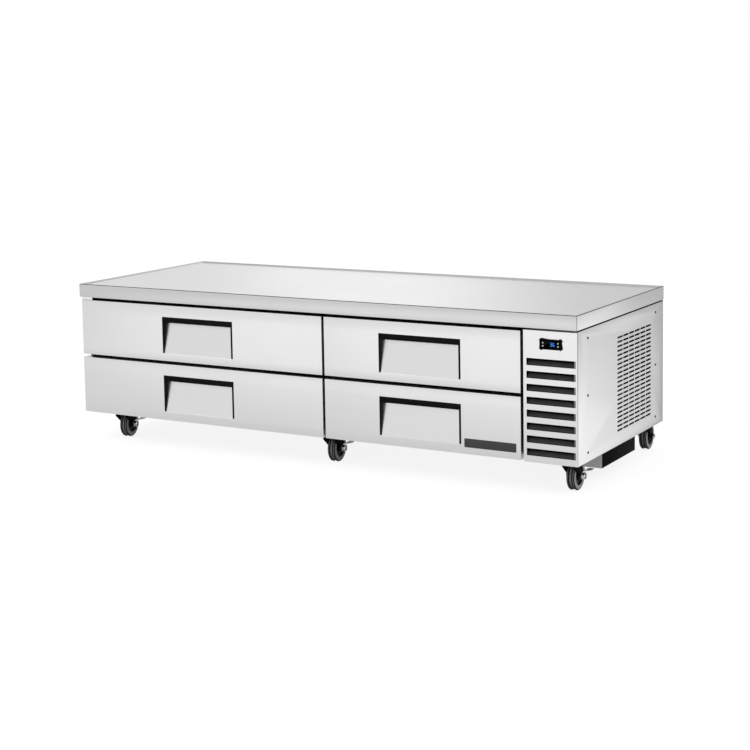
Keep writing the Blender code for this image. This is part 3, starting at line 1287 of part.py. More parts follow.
def castor_places():
    """Return each castor's name, swivel axis and turn, front row first."""
    places = {}
    for row, y in (("front", CASTOR_FRONT_Y), ("rear", CASTOR_REAR_Y)):
        for column, x, yaw in zip(("left", "middle", "right"), CASTOR_COLUMNS_X, CASTOR_YAWS[row]):
            places[f"{row}_{column}"] = (x, y, yaw)
    return places


def build_castors():
    """Make six swivel castors, each turned as it came to rest, with brakes on the front three."""
    forks = {"front": fork_mesh("braked_fork_blank", True), "rear": fork_mesh("plain_fork_blank", False)}
    wheel, brake = wheel_mesh(), brake_mesh()
    for name, (x, y, yaw) in castor_places().items():
        swivel = bpy.data.objects.new(f"{name}_castor_swivel", None)
        bpy.context.scene.collection.objects.link(swivel)
        swivel.location = (x, y, 0.0)
        swivel.rotation_euler.z = yaw
        place_mesh(f"{name}_castor_fork", forks[name.split("_")[0]], BLACK_STEEL).parent = swivel
        axle_pieces = [place_mesh(f"{name}_castor_wheel", wheel, RUBBER)]
        if name.startswith("front"):
            axle_pieces.append(place_mesh(f"{name}_castor_brake", brake, ZINC))
        for piece in axle_pieces:
            piece.parent = swivel
            piece.location = (0.0, CASTOR_TRAIL, WHEEL_RADIUS)


def centre_on_floor():
    """Move everything so that the origin lies under the middle of the whole."""
    for thing in bpy.data.objects:
        if thing.parent is None:
            thing.location.y -= MIDDLE_Y


def build():
    """Build every piece of the unit."""
    clear_scene()
    build_worktop()
    build_insulation()
    build_liner()
    build_front_frame()
    build_end_panel()
    build_back_panel()
    build_base_pan()
    build_tray()
    build_side_panel()
    build_castor_rails()
    build_louvre_panel()
    build_controller()
    build_drawers()
    build_compressor()
    build_condenser()
    build_condenser_fan()
    build_evaporator()
    build_gland()
    build_castors()
    centre_on_floor()


build()
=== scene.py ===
"""Refrigerated chef base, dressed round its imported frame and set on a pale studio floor."""

import json
import logging
import math
from collections.abc import Callable, Iterable
from dataclasses import dataclass
from enum import Enum
from typing import NamedTuple

import bmesh
import bpy
from mathutils import Matrix, Vector

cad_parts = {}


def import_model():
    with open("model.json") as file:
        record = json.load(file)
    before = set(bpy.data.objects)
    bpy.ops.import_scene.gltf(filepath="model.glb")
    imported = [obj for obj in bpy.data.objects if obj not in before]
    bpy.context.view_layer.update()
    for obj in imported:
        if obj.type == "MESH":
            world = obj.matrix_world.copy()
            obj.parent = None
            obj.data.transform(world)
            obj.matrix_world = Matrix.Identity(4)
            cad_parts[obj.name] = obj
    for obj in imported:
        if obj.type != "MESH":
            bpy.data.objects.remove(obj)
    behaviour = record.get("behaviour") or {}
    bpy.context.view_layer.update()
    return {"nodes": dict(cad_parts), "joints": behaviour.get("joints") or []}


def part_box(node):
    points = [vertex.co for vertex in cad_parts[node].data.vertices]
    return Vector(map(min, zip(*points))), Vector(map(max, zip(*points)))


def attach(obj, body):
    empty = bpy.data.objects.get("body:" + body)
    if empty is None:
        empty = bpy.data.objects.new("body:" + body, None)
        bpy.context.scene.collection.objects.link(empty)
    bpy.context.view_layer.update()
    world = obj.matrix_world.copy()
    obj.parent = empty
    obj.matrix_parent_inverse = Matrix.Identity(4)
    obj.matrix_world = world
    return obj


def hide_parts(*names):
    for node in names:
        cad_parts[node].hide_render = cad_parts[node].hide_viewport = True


log = logging.getLogger("chef_base")

# How far apart two lengths in metres may lie and still be the same
TOLERANCE = 1e-5
# How much of a face's direction lies along a side that it faces, nearly all of it or most of it
STRAIGHT = 0.99
MOSTLY = 0.9
# A turned corner leans less than this, and turns more than that from both of its neighbours
CORNER_LEAN = 0.3
CORNER_TURN = 0.2
# The angle in degrees past which the edges of folded sheet stay sharp
FINE_ANGLE = 25.0

Piece = bpy.types.Object
Socket = bpy.types.NodeSocket
Groups = dict[str, bpy.types.NodeTree]
Colour = tuple[float, float, float]
Place = Iterable[float]
PointTest = Callable[[Vector], bool]
EdgeTest = Callable[[Vector, Vector], bool]
FaceTest = Callable[[Vector, Vector], bool]


class Side(Enum):
    """A direction along one of the main axes."""

    LEFT = Vector((-1.0, 0.0, 0.0))
    RIGHT = Vector((1.0, 0.0, 0.0))
    FRONT = Vector((0.0, -1.0, 0.0))
    BACK = Vector((0.0, 1.0, 0.0))
    DOWN = Vector((0.0, 0.0, -1.0))
    UP = Vector((0.0, 0.0, 1.0))


class Grain(Enum):
    """Direction in which a sheet was brushed, as the scale of its pattern along X, Y and Z."""

    ALONG_X = (1.6, 240.0, 240.0)
    ALONG_Y = (240.0, 1.6, 240.0)
    ROUND = (60.0, 60.0, 60.0)


# Bench work: starting, shaping and finishing a piece


def deselect_all() -> None:
    """Deselect every object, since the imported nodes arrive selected."""
    bpy.ops.object.select_all(action="DESELECT")


def take_up(piece: Piece) -> None:
    """Make a piece the only selected and active object.

    Args:
        piece: The piece.
    """
    deselect_all()
    piece.select_set(True)
    bpy.context.view_layer.objects.active = piece


def settle_place(piece: Piece, name: str) -> Piece:
    """Move a new primitive's place, turn and size into its mesh.

    Args:
        piece: The primitive that was just added.
        name: The piece's name.

    Returns:
        The piece, at the origin, unturned and unscaled.
    """
    take_up(piece)
    bpy.ops.object.transform_apply(location=True, rotation=True, scale=True)
    piece.name = name
    piece.data.name = name
    return piece


def start_block(name: str, low: Place, high: Place) -> Piece:
    """Start a piece from a cube primitive between two corners.

    Args:
        name: The piece's name.
        low: Its lowest corner.
        high: Its highest corner.

    Returns:
        The new piece.
    """
    low, high = Vector(low), Vector(high)
    deselect_all()
    bpy.ops.mesh.primitive_cube_add(size=1.0, location=(low + high) / 2)
    piece = bpy.context.object
    piece.scale = high - low
    return settle_place(piece, name)


def start_round(
    name: str, centre: Place, radius: float, length: float, side: Side = Side.UP, sides: int = 32
) -> Piece:
    """Start a piece from a cylinder primitive.

    Args:
        name: The piece's name.
        centre: The middle of the cylinder.
        radius: Its radius.
        length: Its length along its axis.
        side: The direction of its axis.
        sides: The number of its flats.

    Returns:
        The new piece.
    """
    deselect_all()
    bpy.ops.mesh.primitive_cylinder_add(vertices=sides, radius=radius, depth=length, location=Vector(centre))
    piece = bpy.context.object
    piece.rotation_mode = "QUATERNION"
    piece.rotation_quaternion = Side.UP.value.rotation_difference(side.value)
    return settle_place(piece, name)


class Bench:
    """Edit mode on one piece, with its parts picked by place or direction."""

    def __init__(self, piece: Piece) -> None:
        """Take a piece to the bench."""
        self.piece = piece

    def __enter__(self) -> "Bench":
        """Open the piece for shaping, with nothing picked.

        Returns:
            The bench.
        """
        take_up(self.piece)
        bpy.ops.object.mode_set(mode="EDIT")
        bpy.ops.mesh.select_mode(type="VERT")
        bpy.ops.mesh.select_all(action="DESELECT")
        return self

    def __exit__(self, *_: object) -> None:
        """Close the piece."""
        bpy.ops.object.mode_set(mode="OBJECT")

    def points(self, test: PointTest) -> None:
        """Pick the points that pass a test of their place.

        Args:
            test: Tells whether a point is wanted, by its place.
        """
        bpy.ops.mesh.select_mode(type="VERT")
        mesh = bmesh.from_edit_mesh(self.piece.data)
        for point in mesh.verts:
            point.select = test(point.co)
        mesh.select_flush_mode()
        bmesh.update_edit_mesh(self.piece.data)

    def edges(self, test: EdgeTest) -> None:
        """Pick the edges that pass a test of their two ends.

        Args:
            test: Tells whether an edge is wanted, by its two ends.
        """
        bpy.ops.mesh.select_mode(type="EDGE")
        bpy.ops.mesh.select_all(action="DESELECT")
        mesh = bmesh.from_edit_mesh(self.piece.data)
        for edge in mesh.edges:
            edge.select_set(test(edge.verts[0].co, edge.verts[1].co))
        bmesh.update_edit_mesh(self.piece.data)

    def faces(self, test: FaceTest) -> None:
        """Pick the faces that pass a test of their middle and their direction.

        Args:
            test: Tells whether a face is wanted, by its middle and its direction.
        """
        bpy.ops.mesh.select_mode(type="FACE")
        bpy.ops.mesh.select_all(action="DESELECT")
        mesh = bmesh.from_edit_mesh(self.piece.data)
        mesh.normal_update()
        for face in mesh.faces:
            face.select_set(test(face.calc_center_median(), face.normal))
        bmesh.update_edit_mesh(self.piece.data)

    def facing(self, side: Side) -> None:
        """Pick the faces that face one way."""
        self.faces(lambda middle, normal: normal.dot(side.value) > STRAIGHT)

    def inset(self, width: float) -> None:
        """Inset the picked faces."""
        bpy.ops.mesh.inset(thickness=width, depth=0.0, use_even_offset=True)

    def extrude(self, x: float = 0.0, y: float = 0.0, z: float = 0.0) -> None:
        """Extrude the picked faces by a move."""
        bpy.ops.mesh.extrude_region_move(TRANSFORM_OT_translate={"value": (x, y, z)})

    def move(self, x: float = 0.0, y: float = 0.0, z: float = 0.0) -> None:
        """Move what is picked."""
        bpy.ops.transform.translate(value=(x, y, z))

    def resize(self, factors: Place, centre: Place) -> None:
        """Scale what is picked about a centre."""
        bpy.ops.transform.resize(value=tuple(factors), center_override=tuple(centre))

    def bevel(self, width: float, segments: int = 3) -> None:
        """Round the picked edges."""
        bpy.ops.mesh.bevel(offset=width, segments=segments, profile=0.5, affect="EDGES", clamp_overlap=True)

    def slice(self, side: Side, *places: float) -> None:
        """Cut lines of edges right round the piece, across one direction at some places along it.

        Args:
            side: The direction.
            places: The places along it.
        """
        for place in places:
            bpy.ops.mesh.select_all(action="SELECT")
            bpy.ops.mesh.bisect(plane_co=tuple(place * side.value), plane_no=tuple(side.value))


def near(value: float, *targets: float) -> bool:
    """Tell whether a value is at one of some targets."""
    return any(abs(value - target) < TOLERANCE for target in targets)


def box_edges(low: Vector, high: Vector) -> EdgeTest:
    """Return a test for edges that lie on the twelve edges of a box.

    Args:
        low: The lowest corner.
        high: The highest corner.

    Returns:
        The test.
    """

    def test(a: Vector, b: Vector) -> bool:
        """Tell whether an edge lies on one of them."""
        return sum(near(a[k], low[k], high[k]) and near(a[k], b[k]) for k in range(3)) >= 2

    return test


def corner_edges(low: Vector, high: Vector, axis: int) -> EdgeTest:
    """Return a test for the four edges of a box that run along one axis.

    Args:
        low: The lowest corner.
        high: The highest corner.
        axis: The number of the axis, from 0 for X to 2 for Z.

    Returns:
        The test.
    """
    others = [k for k in range(3) if k != axis]

    def test(a: Vector, b: Vector) -> bool:
        """Tell whether an edge is one of them."""
        return all(near(a[k], low[k], high[k]) and near(a[k], b[k]) for k in others)

    return test


def is_upright_corner(face: bpy.types.MeshPolygon) -> bool:
    """Tell whether a face belongs to the turned sheet of an upright corner."""
    x, y, z = (abs(part) for part in face.normal)
    return z < CORNER_LEAN and min(x, y) > CORNER_TURN


def use_modifier(piece: Piece, kind: str, **settings: object) -> None:
    """Add a modifier with its settings and apply it.

    Args:
        piece: The piece to change.
        kind: The modifier's type.
        **settings: Its properties.
    """
    take_up(piece)
    modifier = piece.modifiers.new(kind.lower(), kind)
    for key, value in settings.items():
        setattr(modifier, key, value)
    bpy.ops.object.modifier_apply(modifier=modifier.name)


def round_edges(piece: Piece, width: float, segments: int = 2, angle_deg: float = 35.0) -> None:
    """Round every edge of a piece that is sharper than an angle."""
    limits = {"limit_method": "ANGLE", "angle_limit": math.radians(angle_deg), "use_clamp_overlap": True}
    use_modifier(piece, "BEVEL", width=width, segments=segments, **limits)


def combine(piece: Piece, other: Piece, operation: str) -> None:
    """Join a second piece to the first, or cut it away, and put the second one away.

    Args:
        piece: The piece to change.
        other: The piece that joins it or cuts it.
        operation: The kind of the Boolean modifier.
    """
    settings = {"operation": operation, "object": other, "solver": "EXACT", "use_self": operation == "UNION"}
    use_modifier(piece, "BOOLEAN", **settings)
    put_away(other)


def join(pieces: list[Piece], name: str) -> Piece:
    """Put several meshes into one object.

    Args:
        pieces: The objects to join.
        name: The name of the result.

    Returns:
        The joined object.
    """
    take_up(pieces[0])
    for piece in pieces:
        piece.select_set(True)
    if len(pieces) > 1:
        bpy.ops.object.join()
    pieces[0].name = name
    return pieces[0]


def copy_piece(piece: Piece, name: str, place: Matrix) -> Piece:
    """Copy a piece with a mesh of its own, put in place in its mesh.

    Args:
        piece: The model of the piece.
        name: The copy's name.
        place: The transform from the model to the copy.

    Returns:
        The copy.
    """
    copy = piece.copy()
    copy.data = piece.data.copy()
    copy.name = name
    copy.data.name = name
    bpy.context.scene.collection.objects.link(copy)
    copy.data.transform(place)
    return copy


def put_away(*pieces: Piece) -> None:
    """Remove models and cutters once they are used."""
    for piece in pieces:
        bpy.data.objects.remove(piece, do_unlink=True)


def shift(x: float = 0.0, y: float = 0.0, z: float = 0.0) -> Matrix:
    """Return a plain move."""
    return Matrix.Translation((x, y, z))


# Finishes


def new_group(
    name: str, inputs: dict[str, tuple[str, object]], outputs: tuple[str, ...]
) -> bpy.types.NodeTree:
    """Start a shader node group with named inputs and outputs.

    Args:
        name: The group's name.
        inputs: For each input its socket type and its plain value.
        outputs: The names of its outputs, which are all plain values.

    Returns:
        The group, with its input and output nodes in it.
    """
    group = bpy.data.node_groups.new(name, "ShaderNodeTree")
    for key, (kind, value) in inputs.items():
        socket = group.interface.new_socket(key, in_out="INPUT", socket_type=kind)
        socket.default_value = value
    for key in outputs:
        group.interface.new_socket(key, in_out="OUTPUT", socket_type="NodeSocketFloat")
    group.nodes.new("NodeGroupInput").name = "in"
    group.nodes.new("NodeGroupOutput").name = "out"
    return group


class Wiring:
    """Nodes and links of one material or node group."""

    def __init__(self, tree: bpy.types.NodeTree) -> None:
        """Work on a node tree."""
        self.tree = tree

    def add(
        self, kind: str, values: dict[str | int, object] | None = None, **settings: object
    ) -> bpy.types.Node:
        """Add a node.

        Args:
            kind: The node's type.
            values: Plain values or sockets for its inputs, by name or number.
            **settings: Its properties.

        Returns:
            The node.
        """
        node = self.tree.nodes.new(kind)
        for key, value in settings.items():
            setattr(node, key, value)
        for key, value in (values or {}).items():
            self.feed(node.inputs[key], value)
        return node

    def feed(self, socket: Socket, value: object) -> None:
        """Set an input to a plain value, or link another node's output to it.

        Args:
            socket: The input.
            value: The plain value, or the other node's output.
        """
        if isinstance(value, Socket):
            self.tree.links.new(value, socket)
        else:
            socket.default_value = value

    def math(self, operation: str, first: object, second: object) -> Socket:
        """Work out one value from two."""
        return self.add("ShaderNodeMath", {0: first, 1: second}, operation=operation).outputs[0]

    def mix(self, first: object, second: object, share: float) -> Socket:
        """Add two values, the first by its share and the second by the rest."""
        first = self.math("MULTIPLY", first, share)
        return self.math("ADD", first, self.math("MULTIPLY", second, 1.0 - share))

    def noise(self, vector: Socket, scale: object, detail: float, roughness: float = 0.5) -> Socket:
        """Make a cloudy pattern."""
        values = {"Vector": vector, "Scale": scale, "Detail": detail, "Roughness": roughness}
        return self.add("ShaderNodeTexNoise", values).outputs[0]

    def blend(self, share: object, first: Colour, second: Colour | Socket) -> Socket:
        """Blend two colours by a share.

        Args:
            share: The second colour's share.
            first: The first colour.
            second: The second colour.

        Returns:
            The blended colour.
        """
        node = self.add("ShaderNodeMix", data_type="RGBA")
        for number, value in ((0, share), (6, first), (7, second)):
            self.feed(node.inputs[number], (*value, 1.0) if isinstance(value, tuple) else value)
        return node.outputs[2]

    def bump(self, height: Socket, strength: float, distance: float) -> Socket:
        """Turn a height into a normal."""
        values = {"Height": height, "Strength": strength, "Distance": distance}
        return self.add("ShaderNodeBump", values).outputs[0]

    def rescale(
        self,
        value: object,
        low: object,
        high: object,
        start: float = 0.0,
        end: float = 1.0,
        soft: bool = False,
    ) -> Socket:
        """Map a value from one range to another.

        Args:
            value: The value.
            low: What the start becomes.
            high: What the end becomes.
            start: Where the value's range starts.
            end: Where it ends.
            soft: Whether the change is slow near both ends.

        Returns:
            The mapped value.
        """
        values = {0: value, 1: start, 2: end, 3: low, 4: high}
        kind = "SMOOTHSTEP" if soft else "LINEAR"
        return self.add("ShaderNodeMapRange", values, interpolation_type=kind).outputs[0]


def build_grain_group() -> bpy.types.NodeTree:
    """Make the shared effect of a brushed or rolled metal surface.

    Returns:
        A group that puts out fine brush lines, soft clouds and a height.
    """
    inputs = {"Vector": ("NodeSocketVector", (0.0,) * 3), "Stretch": ("NodeSocketVector", Grain.ROUND.value)}
    group = new_group("brushed_grain", inputs, ("Lines", "Clouds", "Height"))
    wiring = Wiring(group)
    source, out = group.nodes["in"].outputs, group.nodes["out"].inputs
    pair = {0: source["Vector"], 1: source["Stretch"]}
    stretched = wiring.add("ShaderNodeVectorMath", pair, operation="MULTIPLY").outputs[0]
    fine = wiring.noise(stretched, scale=6.0, detail=3.0)
    coarse = wiring.noise(stretched, scale=1.3, detail=2.0)
    lines = wiring.mix(fine, coarse, share=0.6)
    clouds = wiring.noise(source["Vector"], scale=3.2, detail=4.0)
    wiring.feed(out["Lines"], lines)
    wiring.feed(out["Clouds"], clouds)
    wiring.feed(out["Height"], wiring.math("ADD", lines, wiring.math("MULTIPLY", clouds, 0.3)))
    return group


def build_speckle_group() -> bpy.types.NodeTree:
    """Make the shared effect of a moulded, powder-coated or cast surface.

    Returns:
        A group that puts out fine speckle and patches of dust.
    """
    inputs = {"Vector": ("NodeSocketVector", (0.0,) * 3), "Size": ("NodeSocketFloat", 900.0)}
    group = new_group("moulded_speckle", inputs, ("Speckle", "Dust"))
    wiring = Wiring(group)
    source, out = group.nodes["in"].outputs, group.nodes["out"].inputs
    wiring.feed(out["Speckle"], wiring.noise(source["Vector"], source["Size"], detail=2.0))
    dust = wiring.noise(source["Vector"], scale=22.0, detail=6.0, roughness=0.7)
    wiring.feed(out["Dust"], wiring.rescale(dust, 0.0, 1.0, start=0.45, end=0.75))
    return group


@dataclass(frozen=True)
class Finish:
    """A surface finish, and the record's material slot that it belongs to."""

    name: str
    slot: str

    def make(self, groups: Groups) -> bpy.types.Material:
        """Build the material, which reads the piece's own coordinates.

        Args:
            groups: The shared node groups.

        Returns:
            The material.
        """
        material = bpy.data.materials.new(self.name)
        material.use_nodes = True
        wiring = Wiring(material.node_tree)
        place = wiring.add("ShaderNodeTexCoord")
        mapping = wiring.add("ShaderNodeMapping", {"Vector": place.outputs["Object"]})
        shader = material.node_tree.nodes["Principled BSDF"]
        self.wire(wiring, shader.inputs, mapping.outputs[0], groups)
        return material

    def wire(self, wiring: Wiring, shader: bpy.types.NodeInputs, vector: Socket, groups: Groups) -> None:
        """Wire the nodes of one kind of finish to the shader's inputs."""
        raise NotImplementedError


@dataclass(frozen=True)
class Metal(Finish):
    """A brushed or rolled metal sheet."""

    colour: Colour
    shade: Colour
    roughness: float
    spread: float
    grain: Grain
    relief: float = 0.00002
    metallic: float = 1.0

    def wire(self, wiring: Wiring, shader: bpy.types.NodeInputs, vector: Socket, groups: Groups) -> None:
        """Wire the brush lines into the colour, the roughness and the relief.

        Args:
            wiring: The material's nodes.
            shader: The shader's inputs.
            vector: The piece's own coordinates.
            groups: The shared node groups.
        """
        grain = wiring.add("ShaderNodeGroup", node_tree=groups["grain"])
        wiring.feed(grain.inputs["Vector"], vector)
        wiring.feed(grain.inputs["Stretch"], self.grain.value)
        lines, clouds, height = grain.outputs
        tone = wiring.mix(lines, clouds, share=0.7)
        share = wiring.rescale(tone, 0.0, 1.0, start=0.35, end=0.65)
        wiring.feed(shader["Base Color"], wiring.blend(share, self.colour, self.shade))
        low, high = self.roughness - self.spread, self.roughness + self.spread
        rough = wiring.mix(lines, clouds, share=0.5)
        wiring.feed(shader["Roughness"], wiring.rescale(rough, low, high, start=0.3, end=0.7))
        wiring.feed(shader["Metallic"], self.metallic)
        wiring.feed(shader["Normal"], wiring.bump(height, strength=0.5, distance=self.relief))


@dataclass(frozen=True)
class Moulded(Finish):
    """A moulded, rubber or coated surface without metal shine."""

    colour: Colour
    dusty: Colour
    roughness: float
    speckle_size: float = 900.0
    relief: float = 0.00004
    shine: float = 0.5

    def wire(self, wiring: Wiring, shader: bpy.types.NodeInputs, vector: Socket, groups: Groups) -> None:
        """Wire the speckle and the dust into the colour, the roughness and the relief.

        Args:
            wiring: The material's nodes.
            shader: The shader's inputs.
            vector: The piece's own coordinates.
            groups: The shared node groups.
        """
        surface = wiring.add("ShaderNodeGroup", node_tree=groups["speckle"])
        wiring.feed(surface.inputs["Vector"], vector)
        wiring.feed(surface.inputs["Size"], self.speckle_size)
        speckle, dust = surface.outputs
        share = wiring.math("MULTIPLY", dust, speckle)
        wiring.feed(shader["Base Color"], wiring.blend(share, self.colour, self.dusty))
        rough = wiring.rescale(speckle, self.roughness - 0.07, self.roughness + 0.09)
        wiring.feed(shader["Roughness"], rough)
        wiring.feed(shader["Specular IOR Level"], self.shine)
        wiring.feed(shader["Normal"], wiring.bump(speckle, strength=0.4, distance=self.relief))


@dataclass(frozen=True)
class Foam(Finish):
    """Cut foam core, painted near black as painted shade where its edge shows under the worktop."""

    colour: Colour
    shaded_colour: Colour
    shade_top: float

    def wire(self, wiring: Wiring, shader: bpy.types.NodeInputs, vector: Socket, groups: Groups) -> None:
        """Wire the foam's cells and the edge of the painted shade.

        Args:
            wiring: The material's nodes.
            shader: The shader's inputs.
            vector: The piece's own coordinates.
            groups: The shared node groups, not used here.
        """
        cells = wiring.add("ShaderNodeTexVoronoi", {"Vector": vector, "Scale": 700.0}).outputs["Distance"]
        tone = wiring.blend(cells, self.colour, tuple(0.7 * part for part in self.colour))
        height = wiring.add("ShaderNodeSeparateXYZ", {0: vector}).outputs[2]
        in_shade = wiring.math("LESS_THAN", height, self.shade_top)
        wiring.feed(shader["Base Color"], wiring.blend(in_shade, tone, self.shaded_colour))
        wiring.feed(shader["Roughness"], 0.9)
        wiring.feed(shader["Normal"], wiring.bump(cells, strength=0.5, distance=0.0003))


@dataclass(frozen=True)
class Lamp(Finish):
    """A lit display segment with a soft, uneven glow."""

    colour: Colour
    strength: float

    def wire(self, wiring: Wiring, shader: bpy.types.NodeInputs, vector: Socket, groups: Groups) -> None:
        """Wire the uneven glow.

        Args:
            wiring: The material's nodes.
            shader: The shader's inputs.
            vector: The piece's own coordinates.
            groups: The shared node groups, not used here.
        """
        glow = wiring.noise(vector, scale=400.0, detail=2.0)
        tone = wiring.blend(glow, self.colour, tuple(0.6 * part for part in self.colour))
        wiring.feed(shader["Base Color"], tone)
        wiring.feed(shader["Emission Color"], tone)
        wiring.feed(shader["Emission Strength"], self.strength)
        wiring.feed(shader["Roughness"], 0.3)


def grey(level: float, blue: float = 0.0) -> Colour:
    """Return a grey, where asked a little more or less blue."""
    return (level, level, level + blue)


GALVANISED, INSIDE_SHADE = grey(0.46, 0.005), grey(0.72, 0.005)
PLATE, PLATE_SHADE = (0.085, 0.087, 0.085), (0.065, 0.067, 0.065)

FINISHES = (
    # The front, fascia, side and deck finishes are one stainless steel in four tones, lighter or darker by
    # how light falls on each face: painted light and shade, with the fascia darkest.
    Metal("stainless_front", "stainless", grey(0.84), grey(0.81, 0.002), 0.30, 0.03, Grain.ALONG_X, 0.00001),
    Metal("stainless_fascia", "stainless", grey(0.69), grey(0.66, 0.002), 0.30, 0.03, Grain.ALONG_X, 0.00001),
    Metal("stainless_side", "stainless", grey(0.88), grey(0.85, 0.002), 0.28, 0.03, Grain.ALONG_Y, 0.00001),
    Metal("stainless_deck", "stainless", grey(0.90), grey(0.87, 0.002), 0.28, 0.03, Grain.ALONG_X, 0.00001),
    # Painted dark reflections: near-black and dark steel on the rounded rims, top folds and upright corners,
    # drawing dark edge lines.
    Metal("stainless_edge", "stainless", grey(0.06), grey(0.04), 0.30, 0.04, Grain.ALONG_X, 0.00001),
    Metal("stainless_corner", "stainless", grey(0.30), grey(0.24, 0.002), 0.30, 0.04, Grain.ROUND, 0.00001),
    Metal("stainless_inside", "stainless", grey(0.80), INSIDE_SHADE, 0.38, 0.06, Grain.ROUND, metallic=0.35),
    Metal("badge_plate", "stainless", PLATE, PLATE_SHADE, 0.45, 0.05, Grain.ALONG_X),
    Metal("galvanised_sheet", "galvanised", GALVANISED, grey(0.34, 0.005), 0.45, 0.10, Grain.ROUND, 0.00005),
    Metal("tray_front", "galvanised", GALVANISED, grey(0.38, 0.005), 0.50, 0.08, Grain.ROUND, 0.00005),
    Metal("zinc_bright", "zinc", grey(0.80, -0.01), grey(0.60, -0.01), 0.25, 0.08, Grain.ROUND),
    Metal("screw_steel", "zinc", grey(0.12), grey(0.07), 0.40, 0.08, Grain.ROUND),
    Metal("coil_fins", "fins", grey(0.16, 0.005), grey(0.10, 0.005), 0.45, 0.08, Grain.ROUND),
    Moulded("black_plastic", "black_plastic", grey(0.004), grey(0.010), 0.45, shine=0.04),
    Moulded("pull_black", "black_plastic", grey(0.006), grey(0.014), 0.42, 1400.0, 0.00002, 0.05),
    # Near black with little shine: on the front frame, black trim darkened further as painted shade in the
    # gaps between the fronts; on the louvre pan, painted shade inside the openings.
    Moulded("black_with_painted_shade", "black_plastic", grey(0.002), grey(0.004), 0.60, shine=0.02),
    Moulded("wheel_core", "black_plastic", grey(0.006), grey(0.020), 0.50, shine=0.12),
    Moulded("blade_grey", "black_plastic", grey(0.055), grey(0.10), 0.65, 700.0, 0.0001, 0.04),
    Moulded("black_steel", "black_steel", grey(0.004), grey(0.012), 0.45, 600.0, shine=0.01),
    # The tyre is one rubber in three tones: the flat sides lighter as painted light, the grooves and
    # shoulders near black as painted shade.
    Moulded("tyre_rubber", "tread", grey(0.26), grey(0.38), 0.75, 500.0, 0.00008, 0.10),
    Moulded("tyre_side", "tread", grey(0.46), grey(0.58), 0.70, 500.0, 0.00008, 0.10),
    Moulded("tyre_groove", "tread", grey(0.02), grey(0.05), 0.75, 500.0, 0.00008, 0.05),
    Moulded("gasket_rubber", "gasket", grey(0.012), grey(0.03), 0.65, 500.0, 0.00006, 0.10),
    Moulded("key_white", "key", grey(0.80), grey(0.70), 0.35),
    # The foam is painted near black below the worktop's underside, as painted shade.
    Foam("foam_core", "foam", (0.80, 0.72, 0.50), grey(0.004), 0.5632),
    Lamp("digit_blue", "black_plastic", (0.04, 0.22, 0.80), 1.2),
)


class Workshop:
    """The finishes, and the last steps of every piece."""

    def __init__(self) -> None:
        """Build the shared node groups and every finish."""
        groups = {"grain": build_grain_group(), "speckle": build_speckle_group()}
        self.materials = {finish.name: finish.make(groups) for finish in FINISHES}
        self.slots = {finish.name: finish.slot for finish in FINISHES}

    def paint(
        self, piece: Piece, names: tuple[str, ...], choose: Callable[[bpy.types.MeshPolygon], str]
    ) -> None:
        """Give a piece several finishes, one for each face.

        Args:
            piece: The piece.
            names: The names of its finishes.
            choose: Returns the name of a face's finish.
        """
        for name in names:
            piece.data.materials.append(self.materials[name])
        for face in piece.data.polygons:
            face.material_index = names.index(choose(face))

    def dress(
        self, piece: Piece, finish: str, body: str, stands_for: Iterable[str] = (), angle_deg: float = 35.0
    ) -> None:
        """Give a finished piece its shading, finish and body.

        Args:
            piece: The piece, with its place in its mesh.
            finish: The name of its finish.
            body: The body of the frame that it moves with.
            stands_for: The nodes of the frame that it is shown for.
            angle_deg: The angle past which its edges stay sharp.
        """
        take_up(piece)
        bpy.ops.object.shade_smooth_by_angle(angle=math.radians(angle_deg))
        if not piece.data.materials:
            piece.data.materials.append(self.materials[finish])
        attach(piece, body)
        if stands_for:
            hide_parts(*stands_for)
        log.info("%s: %d faces, %s", piece.name, len(piece.data.polygons), finish)

    def coat(self, node: Piece, finish: str) -> None:
        """Give a node of the frame that is shown as it is its finish.

        Args:
            node: The node.
            finish: The name of its finish.
        """
        node.data.materials.clear()
        node.data.materials.append(self.materials[finish])
        log.info("%s: carried over, %s", node.name, finish)


# The pieces


@dataclass
class Worktop:
    """The worktop: a folded sheet with a raised edge round its deck."""

    rim_top: float = 0.004
    rim_slope: float = 0.008
    rim_height: float = 0.005
    rim_lean: float = 0.02
    sheet: float = 0.0015
    hem: float = 0.012
    edge_radius: float = 0.0018

    def build(self, workshop: Workshop) -> None:
        """Fold the deck, the raised edge, the fascia and the hem.

        Args:
            workshop: The finishes.
        """
        low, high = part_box("worktop")
        half = (high - low) / 2
        top = start_block("worktop_sheet", low, high)
        with Bench(top) as bench:
            bench.facing(Side.UP)
            bench.inset(self.rim_top)
            bench.inset(self.rim_slope)
            bench.move(z=-self.rim_height)
            bench.facing(Side.DOWN)
            bench.inset(self.hem)
            bench.extrude(z=self.sheet)
            bench.extrude()
            grow = [(half[k] - self.sheet) / (half[k] - self.hem) for k in range(2)]
            bench.resize((*grow, 1.0), (low + high) / 2)
            bench.extrude(z=high.z - self.rim_height - self.sheet - low.z - self.sheet)
            bench.edges(box_edges(low, high))
            bench.bevel(self.edge_radius)
        names = ("stainless_deck", "stainless_edge", "stainless_fascia", "stainless_corner")
        workshop.paint(top, names, lambda face: self.finish_of(face, high.z))
        workshop.dress(top, names[0], "cabinet", ["worktop"], FINE_ANGLE)

    def finish_of(self, face: bpy.types.MeshPolygon, top: float) -> str:
        """Tell the corners, the rim and the front fascia from the deck: the rim and corners take painted dark
        reflections, the fascia a darker tone as painted shade.

        Args:
            face: The face.
            top: The top of the raised edge.

        Returns:
            The name of the face's finish.
        """
        if is_upright_corner(face):
            return "stainless_corner"
        if face.center.z > top - self.edge_radius and face.normal.z > self.rim_lean:
            return "stainless_edge"
        return "stainless_fascia" if face.normal.y < -MOSTLY else "stainless_deck"


